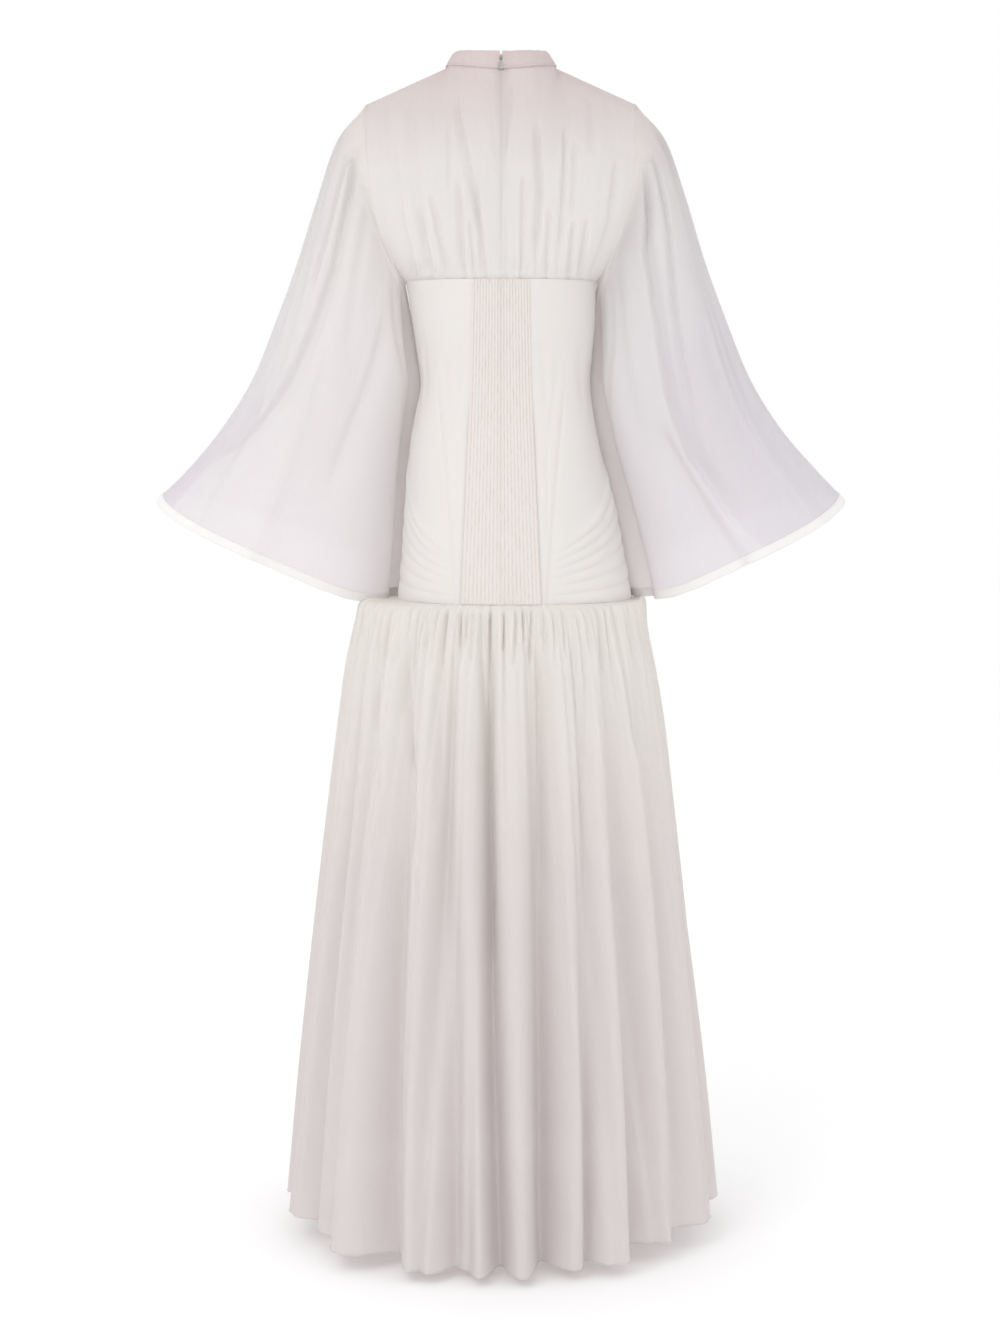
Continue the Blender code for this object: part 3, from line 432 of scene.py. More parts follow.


# The stops are painted shade by height: the yoke, collar and sleeves are darker and rosier at the
# shoulders, and the skirt is darker towards its hem.
yoke_chiffon = chiffon("yoke chiffon", (
    (0.02, "#E8DEDD"), (-0.12, "#F3F1F0"), (-0.25, "#F8F6F5")), openness=0.16, crinkle=0.32)
sleeve_chiffon = chiffon("sleeve chiffon", (
    (-0.02, "#ECE4E3"), (-0.12, "#F8F5F2"), (-0.30, "#F9F6F4"), (-0.60, "#F7F3F3")),
    openness=0.21, crinkle=0.25, shade_tinted=True)
skirt_chiffon = chiffon("skirt chiffon", (
    (-0.66, "#F8F6F2"), (-1.00, "#F0ECEB"), (-1.40, "#EFEAEA")), openness=0.18, crinkle=0.30)
collar_chiffon = chiffon("doubled collar chiffon", (
    (0.03, "#E4DAD9"), (0.00, "#E8DFDE")), openness=0.08, crinkle=0.40)

# %% [markdown]
# ## Crepe
# The corset is a matt crepe, woven from hard-twisted yarn, so its face is pebbled instead of
# smooth. It is opaque, with a slight warm tone. The pebbles are drawn 1.5 mm across, about twice
# their real size, so that they show at all.

# %% Crepe
PEBBLE = 0.0015


def crepe(name, colour, shade):
    """A matt pebbled cloth."""
    material, tree = blank_material(name)
    cloth = cloth_place(tree)
    tone = node(tree, "ShaderNodeMix", {
        "Factor": noise(tree, cloth, 14.0), 6: linear(shade), 7: linear(colour)},
        data_type="RGBA")
    pebbles = noise(tree, cloth, 1 / PEBBLE, roughness=0.6)
    relief = bump(tree, pebbles, strength=0.30, distance=0.0005)
    show(tree, face(tree, tone.outputs[2], 0.82, relief, Sheen_Weight=0.12, Sheen_Roughness=0.5,
                    Specular_IOR_Level=0.25))
    return material


corset_crepe = crepe("ivory crepe", "#DEDAD7", "#DAD6D3")
tuck_crepe = crepe("tucked ivory crepe", "#E0DAD6", "#D9D3CE")

# %% [markdown]
# ## Satin, tape, thread, nylon and nickel
# The sleeve hems are bound in satin, whose long floats lie side by side and catch the light. The
# zip's tape is woven flat and close. Its slider and pull are die-cast zinc, plated with nickel and
# tumbled to a soft shine. The thread and the zip's coil are spun or drawn from synthetic fibre.

# %% Satin, tape, thread, nylon and nickel
satin, tree = blank_material("ivory satin binding")
cloth = cloth_place(tree)
floats = noise(tree, scaled(tree, cloth, 70.0, 900.0, 1.0), 1.0)
relief = bump(tree, floats, strength=0.12, distance=0.0003)
puckers = noise(tree, cloth, 90.0, detail=1.0)
relief = bump(tree, puckers, strength=0.35, distance=0.0015, under=relief)
show(tree, face(tree, linear("#E8E6E4"), 0.42, relief, Sheen_Weight=0.10,
                Specular_IOR_Level=0.45))

tape_weave, tree = blank_material("woven zip tape")
place = node(tree, "ShaderNodeTexCoord").outputs["Object"]
ribs = node(tree, "ShaderNodeTexWave", {
    "Vector": place, "Scale": 220.0, "Distortion": 1.5}, bands_direction="Z").outputs["Fac"]
show(tree, face(tree, linear("#F6F3F0"), 0.80, bump(tree, ribs, 0.25, 0.0003)))


def grained(name, colour, roughness, scale, strength, distance, detail=2.0, **looks):
    """A finish of one colour with one fine grain. A roughness given as two values follows it."""
    material, tree = blank_material(name)
    place = node(tree, "ShaderNodeTexCoord").outputs["Object"]
    grain = noise(tree, place, scale, detail)
    if isinstance(roughness, tuple):
        roughness = node(tree, "ShaderNodeMapRange", {
            "Value": grain, "To Min": roughness[0], "To Max": roughness[1]}).outputs[0]
    relief = bump(tree, grain, strength, distance)
    show(tree, face(tree, linear(colour), roughness, relief, **looks))
    return material


thread = grained("polyester sewing thread", "#F1EDE8", roughness=0.60, scale=1500.0,
                 strength=0.3, distance=0.0002)
nylon = grained("ivory nylon coil", "#EDE8E2", roughness=0.45, scale=900.0,
                strength=0.2, distance=0.0001)
nickel = grained("tumbled nickel plate", "#A9A5A3", roughness=(0.28, 0.46), scale=700.0,
                 strength=0.15, distance=0.0002, detail=4.0, Metallic=1.0)

# %% [markdown]
# ## The corset
# The corset is cut in panels that meet at upright seams: a tucked strip each side of the zip, a
# wedge beside it, a side panel with a fan of tucks at its lower corner, and one plain front. Every
# panel lies on one rounded form, given by half widths and reaches at eleven heights.

# %% Corset form
CORSET_TOP = -0.2540
CORSET_HEM = -0.6560
TORSO = table(
    "height left right back front",
    (-0.2540, 0.1210, 0.1210, 0.0900, 0.1180),
    (-0.3120, 0.1120, 0.1195, 0.0820, 0.1120),
    (-0.3450, 0.1070, 0.1165, 0.0760, 0.1010),
    (-0.3830, 0.1030, 0.1140, 0.0725, 0.0920),
    (-0.4180, 0.1095, 0.1185, 0.0820, 0.0935),
    (-0.4500, 0.1155, 0.1245, 0.0950, 0.0970),
    (-0.4900, 0.1195, 0.1335, 0.1090, 0.1030),
    (-0.5300, 0.1225, 0.1445, 0.1180, 0.1080),
    (-0.5750, 0.1255, 0.1535, 0.1220, 0.1120),
    (-0.6200, 0.1290, 0.1620, 0.1220, 0.1130),
    (-0.6560, 0.1330, 0.1680, 0.1210, 0.1130),
)
BACK_SEAMS = table(
    "height tucks dart",
    (-0.2540, 0.0360, 0.0890),
    (-0.3830, 0.0390, 0.0810),
    (-0.5200, 0.0440, 0.0680),
    (-0.6560, 0.0500, 0.0580),
)


def torso(angle, height):
    across, out = oval(along(TORSO, height), angle)
    return stack(across, out, height)


def back_angle(height, across):
    """The angle of a point on the corset's back at a distance from the centre-back line."""
    ring = along(TORSO, height)
    half_width = np.where(across >= 0, ring.left, ring.right)
    out = ring.back * (1 - (np.abs(across) / half_width) ** ROUNDNESS) ** (1 / ROUNDNESS)
    return np.arctan2(out, across)


SEAM_GAP = 0.00002
SEAM_DIP = 0.0015
SEAM_DIP_WIDTH = 0.0030
SLACK_PULL = 0.06
WAIST = -0.380
WAIST_DEPTH = 0.060


def seam_dips(share, width, height):
    """How far the stitches of the two seams beside a panel pull it in. The pull is slight where
    the cloth is stretched over the shoulder blades, and full below the waist."""
    pull = SEAM_DIP * toward(SLACK_PULL, 1.0, ease((WAIST - height) / WAIST_DEPTH))
    return (pull * bell(share * width / SEAM_DIP_WIDTH)
            + pull * bell((1 - share) * width / SEAM_DIP_WIDTH))


def down_corset(height):
    """The share of the way down the corset."""
    return (CORSET_TOP - height) / (CORSET_TOP - CORSET_HEM)


def corset_sheet(name, angle, height, rise, material=corset_crepe):
    """A panel of the corset through angles and heights, raised off the form where it is tucked."""
    points = torso(angle, height)
    normals = outward_of(points)
    if normals[..., 1].mean() * points[..., 1].mean() < 0:
        points, rise, normals = points[:, ::-1], rise[:, ::-1], -normals[:, ::-1]
    points = points + normals * rise[..., None]
    return sheet_mesh(name, points, CREPE_THICKNESS, material)


# %% [markdown]
# ## The tucked strips
# Each tuck is a fold about 4 mm apart, stitched down its length. Washed crepe doesn't keep them
# straight, so each one wavers by a fraction of a millimetre and swells unevenly down its length.

# %% Tucked strips
TUCKS = 10
TUCK_RISE = 0.0021


def tucked_strip(side, name):
    share, height = np.meshgrid(
        np.linspace(0, 1, TUCKS * 9 + 1), np.linspace(CORSET_TOP, CORSET_HEM, 120))
    half = along(BACK_SEAMS, height).tucks
    across = side * toward(SEAM_GAP, half - SEAM_GAP, share)
    count = np.floor(share * TUCKS * 0.9999)
    waver = (0.07 * np.sin(height * 250 + count * 2.1 + side)
             + 0.04 * np.sin(height * 610 + count * 4.7))
    swell = 0.78 + 0.22 * np.sin(height * 95 + count * 3.3) * np.sin(height * 330 + count)
    ridge = np.abs(np.sin(math.pi * (share * TUCKS + waver * np.sin(math.pi * share) ** 0.5)))
    edge = ease(share * TUCKS * 2) * ease((1 - share) * TUCKS * 2)
    rise = TUCK_RISE * ridge ** 0.6 * swell * edge
    return corset_sheet(name, back_angle(height, across), height, rise, tuck_crepe)


corset_tucks_left = tucked_strip(1, "corset_tucks_left_crepe")
corset_tucks_right = tucked_strip(-1, "corset_tucks_right_crepe")

# %% [markdown]
# ## The wedges and side panels
# The wedge narrows to the hem beside the tucked strip. The side panel runs from its seam round to
# the side, and its grid slants, so that the rows of its lower corner can be folded into a fan.
# Where the two sides differ, here and below, 1 stands for the gown's left and -1 for its right.

# %% Wedges and side panels
CORSET_HEIGHTS = (-0.254, -0.300, -0.345, -0.383, -0.420, -0.465, -0.520, -0.585, -0.656)
SIDE_ROWS_AT_DART = CORSET_HEIGHTS[:8]
SIDE_ROWS_AT_SIDE = (-0.254, -0.300, -0.3225, -0.345, -0.364, -0.383, -0.420, -0.465)
FAN_TUCKS = 7
FAN_RISE = {1: 0.0018, -1: 0.0027}
FAN_START = 7
SIDE_PANEL_WIDTH = 0.12
CORSET_CREASES = (
    (0.30, 0.45, 0.18, 0.42, 0.0012, 0.10),
    (0.75, 0.60, 0.22, 0.50, 0.0010, 0.09),
    (0.50, 0.62, 0.46, 0.80, 0.0008, 0.12),
)


def wedge(side, name):
    share, height = np.meshgrid(np.linspace(0, 1, 26), np.linspace(CORSET_TOP, CORSET_HEM, 120))
    seams = along(BACK_SEAMS, height)
    across = side * toward(seams.tucks + SEAM_GAP, seams.dart - SEAM_GAP, share)
    width = seams.dart - seams.tucks
    rise = -seam_dips(share, width, height) - creases(CORSET_CREASES, share, down_corset(height))
    return corset_sheet(name, back_angle(height, across), height, rise)


def side_panel(side, name):
    fan_rows = 2 * FAN_TUCKS
    knots = np.arange(FAN_START + 1 + fan_rows)
    at_dart = list(SIDE_ROWS_AT_DART) + [
        toward(SIDE_ROWS_AT_DART[-1], CORSET_HEM, i / fan_rows) for i in range(1, fan_rows + 1)]
    at_side = list(SIDE_ROWS_AT_SIDE) + [
        float(np.interp(i, (0, 4, 9, 14), CORSET_HEIGHTS[5:])) for i in range(1, fan_rows + 1)]
    rows = np.concatenate([np.linspace(0, FAN_START, 50),
                           np.linspace(FAN_START, knots[-1], 113)[1:]])
    share, row = np.meshgrid(np.linspace(0, 1, 44), rows)
    height = toward(np.interp(row, knots, at_dart), np.interp(row, knots, at_side), share ** 1.25)
    ring = along(TORSO, height)
    turn = SEAM_GAP / (ring.left if side > 0 else ring.right)
    seam = turn if side > 0 else math.pi - turn
    dart = along(BACK_SEAMS, height).dart
    angle = toward(back_angle(height, side * (dart + SEAM_GAP)), seam, share)
    fade = np.minimum(1, np.minimum(3.2 * share, 7 * (1 - share)))
    in_fan = np.clip(row - FAN_START, 0, fan_rows)
    lengthwise = 0.8 + 0.2 * np.sin(share * 17 + np.floor(in_fan / 2) * 2.3)
    fold = np.abs(np.sin(math.pi * in_fan / 2)) ** 0.8 * FAN_RISE[side] * fade * lengthwise
    rise = fold - seam_dips(share, SIDE_PANEL_WIDTH, height)
    rise = rise - creases(CORSET_CREASES, share, down_corset(height))
    return corset_sheet(name, angle, height, rise)


corset_back_left = wedge(1, "corset_back_left_crepe")
corset_back_right = wedge(-1, "corset_back_right_crepe")
corset_side_left = side_panel(1, "corset_side_left_crepe")
corset_side_right = side_panel(-1, "corset_side_right_crepe")

# %% [markdown]
# The corset's front is one plain panel. It can't be seen in the photograph, so it only gets a few
# slight drag lines, where crepe that is stretched over a figure would pull.

# %% Corset front
FRONT_PANEL_WIDTH = 0.35
FRONT_DRAG_LINES = (
    (0.20, 0.32, 0.22, 0.52, 0.0016, 0.050),
    (0.80, 0.70, 0.20, 0.48, 0.0014, 0.045),
    (0.35, 0.28, 0.40, 0.75, 0.0012, 0.050),
    (0.62, 0.70, 0.42, 0.80, 0.0013, 0.060),
)


def corset_front_panel(name):
    share, height = np.meshgrid(np.linspace(0, 1, 90), np.linspace(CORSET_TOP, CORSET_HEM, 90))
    ring = along(TORSO, height)
    left = -SEAM_GAP / ring.left
    right = -(math.pi - SEAM_GAP / ring.right)
    dips = seam_dips(share, FRONT_PANEL_WIDTH, height)
    rise = -dips - creases(FRONT_DRAG_LINES, share, down_corset(height))
    return corset_sheet(name, toward(right, left, share), height, rise)


corset_front = corset_front_panel("corset_front_crepe")

# %% [markdown]
# ## The neck and its collar
# The collar is one stand-up band of doubled chiffon. It leans in a little, dips at the front, and
# its two ends part by a few millimetres at the centre back, where the zip stops.

# %% Collar
NECK = SimpleNamespace(left=0.0683, right=0.0683, back=0.0600, front=0.0620)
COLLAR_EDGE = SimpleNamespace(left=0.0580, right=0.0580, back=0.0545, front=0.0500)
COLLAR_THICKNESS = 0.0013
PARTED_FOOT, PARTED_EDGE = 0.0003, 0.0015


def dipping(ring, angle, side_height, drop_back, drop_front):
    """A loop round the neck that drops towards the back and the front."""
    across, out = oval(ring, angle)
    lift = np.sin(angle)
    drop = np.where(lift > 0, drop_back, drop_front) * lift**2
    return stack(across, out, side_height - drop)


def neckline(angle):
    return dipping(NECK, angle, 0.0148, 0.0096, 0.0350)


def collar_edge(angle):
    return dipping(COLLAR_EDGE, angle, 0.0322, 0.0050, 0.0300)


def collar_band(name):
    level, share = np.meshgrid(1 - np.linspace(0, 1, 22), np.linspace(0, 1, 260), indexing="ij")
    part = toward(PARTED_FOOT, PARTED_EDGE, level)
    turn = part / toward(NECK.back, COLLAR_EDGE.back, level)
    angle = toward(math.pi / 2 + turn, math.pi / 2 - turn + 2 * math.pi, share)
    points = toward(neckline(angle), collar_edge(angle), level[..., None])
    normals = outward_of(points)
    if (normals * points).sum(axis=-1).mean() < 0:
        normals = -normals
    stitched = 0.0006 * bell((level - 0.13) / 0.04) + 0.0005 * bell((level - 0.93) / 0.03)
    waver = 0.0004 * np.sin(angle * 9 + level * 2) + 0.0003 * np.sin(angle * 23 + 1)
    roll = 0.0007 * (1 - bell((1 - level) / 0.06))
    points = points + normals * (waver + roll - stitched)[..., None]
    return sheet_mesh(name, points[:, ::-1], COLLAR_THICKNESS, collar_chiffon), points


collar, collar_points = collar_band("collar_chiffon")

# %% [markdown]
# ## The yoke
# Each half of the yoke is stretched between four edges: the neck and shoulder above, the corset's
# top below, the centre line and the armhole. A Coons patch blends those four edges. The cloth is
# gathered into the corset's top, and its folds fan up and out from there to the shoulder.

# %% Yoke form
CENTRE_BACK = table(
    "height reach",
    (0.0052, 0.0600),
    (-0.0400, 0.0770),
    (-0.1000, 0.0950),
    (-0.1700, 0.0985),
    (-0.2540, 0.0900),
)
CENTRE_FRONT = table(
    "height reach",
    (-0.0202, 0.0620),
    (-0.0600, 0.0850),
    (-0.1100, 0.1080),
    (-0.1650, 0.1230),
    (-0.2150, 0.1240),
    (-0.2540, 0.1180),
)
ARMHOLE = table(
    "turn across out height",
    (0, 0.1710, 0.0000, -0.0310),
    (20, 0.1720, 0.0330, -0.0480),
    (38, 0.1700, 0.0560, -0.0880),
    (62, 0.1655, 0.0670, -0.1350),
    (96, 0.1545, 0.0630, -0.1880),
    (136, 0.1350, 0.0410, -0.2310),
    (180, 0.1225, 0.0000, -0.2525),
    (224, 0.1345, -0.0420, -0.2280),
    (264, 0.1500, -0.0610, -0.1840),
    (298, 0.1610, -0.0650, -0.1320),
    (322, 0.1680, -0.0550, -0.0860),
    (340, 0.1715, -0.0330, -0.0475),
    (360, 0.1710, 0.0000, -0.0310),
)
ARMHOLE_SHARES = (0.0, 0.076, 0.256, 0.467, 0.706, 0.900, 1.0)
ARMHOLE_SHARE_TURNS = (0, 20, 38, 62, 96, 136, 180)
NECK_SHARE = 0.42
TOP_EDGE_FADE = 2.2
CENTRE_FLATNESS = 1.5


def armhole(turn_deg, side):
    place = along(ARMHOLE, np.mod(turn_deg, 360))
    return stack(side * place.across, place.out, place.height)


def half_yoke(side, way, u, v):
    """The smooth form of half a yoke, back for way 1 and front for way -1. u runs from the centre
    line to the armhole and v from the top down."""
    middle = way * math.pi / 2
    line = CENTRE_BACK if way > 0 else CENTRE_FRONT
    shoulder_base = neckline(np.array(0.0 if side > 0 else math.pi))

    def top(u):
        on_neck = neckline(middle * (1 - side * np.minimum(u, NECK_SHARE) / NECK_SHARE))
        beyond = np.clip((u - NECK_SHARE) / (1 - NECK_SHARE), 0, 1)[..., None]
        on_shoulder = toward(shoulder_base, armhole(0.0, side), beyond)
        return np.where((u < NECK_SHARE)[..., None], on_neck, on_shoulder)

    def bottom(u):
        return torso(middle * (1 - side * u), np.full(np.shape(u), CORSET_TOP + SEAM_GAP))

    height = toward(neckline(np.array(middle))[2], CORSET_TOP + SEAM_GAP, v)
    centre = stack(np.zeros_like(v), way * along(line, height).reach, height)
    edge = armhole(way * np.interp(v, ARMHOLE_SHARES, ARMHOLE_SHARE_TURNS), side)
    high = ((1 - v) ** TOP_EDGE_FADE)[..., None]
    bent = (u ** CENTRE_FLATNESS)[..., None]
    zero, one = np.zeros(1), np.ones(1)
    from_top = top(u) - toward(top(zero), top(one), bent)
    from_bottom = bottom(u) - toward(bottom(zero), bottom(one), bent)
    return toward(centre, edge, bent) + high * from_top + (1 - high) * from_bottom


# %% [markdown]
# The folds of the yoke are given one by one, and each half has its own. A row gives places down the
# yoke, how far from the centre line the fold lies at each, its depth and its width in metres, and
# how much steeper one flank is. The front can't be seen in the photograph, and has the same folds
# crosswise; its fullness is the one at -1. The yoke's edges at the neck, the corset and the zip
# have a narrow seam allowance, which goes in under the piece that it is sewn to.

# %% Yoke pieces
YOKE_FOLDS = {1: (
    ((0.13, 0.30, 0.52), (0.0165, 0.0100, 0.0030), 0.0012, 0.0030, 0.4),
    ((0.10, 0.45, 0.84), (0.0600, 0.0400, 0.0215), 0.0044, 0.0044, 0.4),
    ((0.26, 0.60), (0.0650, 0.0625), 0.0024, 0.0032, -0.4),
    ((0.03, 0.36), (0.1480, 0.1450), 0.0026, 0.0060, 0.0),
    ((0.64, 1.0), (0.1010, 0.0850), 0.0036, 0.0040, 0.4),
    ((0.58, 1.0), (0.0870, 0.0670), 0.0042, 0.0038, -0.4),
    ((0.52, 1.0), (0.0520, 0.0456), 0.0044, 0.0036, 0.3),
    ((0.50, 1.0), (0.0320, 0.0190), 0.0042, 0.0034, 0.4),
    ((0.72, 1.0), (0.0390, 0.0330), 0.0030, 0.0026, -0.3),
    ((0.06, 0.55, 1.0), (0.1127, 0.1025, 0.0920), 0.0044, 0.0085, 0.2),
    ((0.30, 0.70, 1.0), (0.1320, 0.1220, 0.1080), 0.0036, 0.0060, 0.4),
), -1: (
    ((0.05, 0.28, 0.52), (0.0160, 0.0100, 0.0015), 0.0020, 0.0024, -0.5),
    ((0.24, 0.60, 0.96), (0.0440, 0.0490, 0.0410), 0.0064, 0.0044, -0.4),
    ((0.26, 0.55, 0.94), (0.0790, 0.0765, 0.0710), 0.0050, 0.0046, 0.4),
    ((0.32, 0.74), (0.0915, 0.0860), 0.0042, 0.0034, -0.4),
    ((0.08, 0.42), (0.1150, 0.1110), 0.0032, 0.0060, 0.0),
    ((0.36, 0.70, 1.0), (0.1440, 0.1340, 0.1130), 0.0046, 0.0060, 0.4),
    ((0.70, 1.0), (0.1050, 0.0970), 0.0036, 0.0036, 0.3),
    ((0.50, 1.0), (0.0280, 0.0253), 0.0040, 0.0042, 0.3),
    ((0.66, 1.0), (0.0600, 0.0560), 0.0038, 0.0030, -0.3),
    ((0.70, 1.0), (0.0890, 0.0835), 0.0038, 0.0032, 0.3),
)}
YOKE_FULLNESS = {1: 0.0065, -1: 0.0055}
ALLOWANCE = 0.0030
ALLOWANCE_DEPTH = 0.0008
TUCKED_IN = 0.006
SOFTENING_PASSES = 90


def soften(points):
    """Evens out the form between its edges, more and more away from the top one."""
    points = points.copy()
    pull = 0.6 * ease(np.linspace(0, 1, len(points)) * 5)[1:-1, None, None]
    for _ in range(SOFTENING_PASSES):
        middle = (points[1:-1, :-2] + points[1:-1, 2:]) / 2
        points[1:-1, 1:-1] = toward(points[1:-1, 1:-1], middle, pull)
    return points


def yoke_sink(side, way, across, u, v):
    """How far the yoke's folds and gathers sink below its swollen form."""
    folds = drawn_folds(YOKE_FOLDS[side * way], across, v)
    from_below = gathers(32, 11 + side + 5 * way, across, 1 - v, 0.0016, 0.0020, 0.17,
                         span=(0.004, 0.116))
    from_above = gathers(10, 31 + side + 5 * way, across, v, 0.0008, 0.0042, 0.35,
                         span=(0.006, 0.165))
    hem = ease(np.minimum(v, 1 - v) * 18) * 0.65 + 0.35
    sides = ease(u * 22) * ease((1 - u) * 12)
    return (folds + from_below + from_above) * hem * sides


def yoke_points(side, way, columns, rows):
    u, v = np.meshgrid(np.linspace(0, 1, columns), np.linspace(0, 1, rows))
    points = soften(half_yoke(side, way, u, v))
    normals = outward_of(points) * -side * way
    swell = YOKE_FULLNESS[way] * np.sin(math.pi * u) ** 2 * np.sin(math.pi * v)
    tucked_in = ALLOWANCE_DEPTH * bell((1 - v) / TUCKED_IN)
    sink = yoke_sink(side, way, np.abs(points[..., 0]), u, v)
    points = points + normals * (swell - tucked_in - sink)[..., None]
    up = np.where(u[0] < NECK_SHARE * 0.96, ALLOWANCE, 0.0)[:, None] * np.array((0, 0, 1.0))
    above = points[:1] + up - normals[:1] * ALLOWANCE_DEPTH * 1.2
    below = points[-1:] - (0, 0, ALLOWANCE)
    return np.concatenate([above, points, below])


def yoke_back(side, name):
    points = yoke_points(side, 1, 130, 84)
    turned_in = points[:, :1] - (0, ALLOWANCE, 0)
    points = np.concatenate([turned_in, points], axis=1)
    if side > 0:
        points = points[:, ::-1]
    return sheet_mesh(name, points, CHIFFON_THICKNESS, yoke_chiffon)


yoke_back_left = yoke_back(1, "yoke_back_left_chiffon")
yoke_back_right = yoke_back(-1, "yoke_back_right_chiffon")
right_half = yoke_points(-1, -1, 110, 68)[:, ::-1]
left_half = yoke_points(1, -1, 110, 68)
front_points = np.concatenate([right_half, left_half[:, 1:]], axis=1)
yoke_front = sheet_mesh("yoke_front_chiffon", front_points, CHIFFON_THICKNESS, yoke_chiffon)

# %% [markdown]
# ## The cape sleeves
# A sleeve hangs from the shoulder tip as a wide bell: each ring is an oval between the line that
# falls from the shoulder and the fold under the arm. A smooth curve runs through the rings.

# %% Sleeve form
SLEEVE_HEADS = (
    "ring outer_x outer_y outer_z inner_x inner_y inner_z back front sag_back sag_front"
)
SLEEVE_RINGS = {1: table(
    SLEEVE_HEADS,
    (1, 0.2080, 0.000, -0.0740, 0.1165, -0.026, -0.2900, 0.063, 0.061, 0.000, 0.000),
    (2, 0.2345, 0.001, -0.1490, 0.1115, -0.038, -0.3140, 0.072, 0.070, 0.000, 0.000),
    (3, 0.2580, 0.003, -0.2240, 0.1075, -0.040, -0.3440, 0.080, 0.077, 0.002, 0.000),
    (4, 0.2860, 0.005, -0.3000, 0.1020, -0.045, -0.3820, 0.090, 0.085, 0.004, -0.004),
    (5, 0.3175, 0.006, -0.3760, 0.1085, -0.052, -0.4360, 0.094, 0.088, 0.008, -0.008),
    (6, 0.3590, 0.006, -0.4400, 0.1160, -0.056, -0.5000, 0.097, 0.091, 0.013, -0.014),
    (7, 0.4020, 0.005, -0.4910, 0.1215, -0.058, -0.5700, 0.100, 0.094, 0.018, -0.020),
    (8, 0.4340, 0.004, -0.5220, 0.1280, -0.056, -0.6400, 0.102, 0.096, 0.022, -0.026),
), -1: table(
    SLEEVE_HEADS,
    (1, 0.2080, 0.000, -0.0740, 0.1185, -0.028, -0.2910, 0.063, 0.061, 0.000, 0.000),
    (2, 0.2355, 0.001, -0.1490, 0.1165, -0.040, -0.3200, 0.072, 0.070, 0.000, 0.000),
    (3, 0.2585, 0.003, -0.2240, 0.1150, -0.044, -0.3540, 0.080, 0.077, 0.002, 0.000),
    (4, 0.2865, 0.005, -0.3000, 0.1115, -0.048, -0.3900, 0.090, 0.085, 0.004, -0.004),
    (5, 0.3185, 0.006, -0.3760, 0.1185, -0.052, -0.4450, 0.094, 0.088, 0.008, -0.008),
    (6, 0.3595, 0.006, -0.4400, 0.1345, -0.055, -0.5120, 0.097, 0.091, 0.013, -0.014),
    (7, 0.4045, 0.005, -0.4910, 0.1490, -0.056, -0.5780, 0.100, 0.094, 0.018, -0.020),
    (8, 0.4340, 0.004, -0.5215, 0.1610, -0.054, -0.6360, 0.102, 0.096, 0.022, -0.026),
)}
LAST_RING = 8


def sleeve_form(side, turns, places):
    """Points round the sleeve at each place down it, from the armhole through its rings."""
    rings = [armhole(turns, side)]
    angle = np.radians(turns)
    behind = np.sin(angle) > 0
    for number in range(1, LAST_RING + 1):
        ring = along(SLEEVE_RINGS[side], number)
        outer = np.array((side * ring.outer_x, ring.outer_y, ring.outer_z))
        inner = np.array((side * ring.inner_x, ring.inner_y, ring.inner_z))
        depth = np.where(behind, ring.back, ring.front)
        sag = np.where(behind, ring.sag_back, ring.sag_front)
        bulge = stack(0.0, depth * np.sin(angle), -sag * np.abs(np.sin(angle)))
        across = (outer - inner) / 2 * np.cos(angle)[:, None]
        rings.append((outer + inner) / 2 + across + bulge)
    rings = np.array(rings)
    slopes = np.gradient(rings, axis=0)
    starts = [min(int(place), LAST_RING - 1) for place in places]
    return np.array([between(rings, slopes, start, place - start)
                     for start, place in zip(starts, places)])


# %% [markdown]
# The front's long folds, the fold under the arm and the fine creases are rows of turns round the
# sleeve at the top and at the hem in degrees, start and end down it, depth, and width in degrees.
# The back's folds follow lines that are drawn, like the yoke's, and each sleeve has its own.
# Colour by place paints on the shade that a real sleeve gets from what lies behind and inside it:
# a cooler shade, deeper at the outer rim and on the right sleeve, none beside the corset, and a
# lilac shade where the cloth lies doubled.

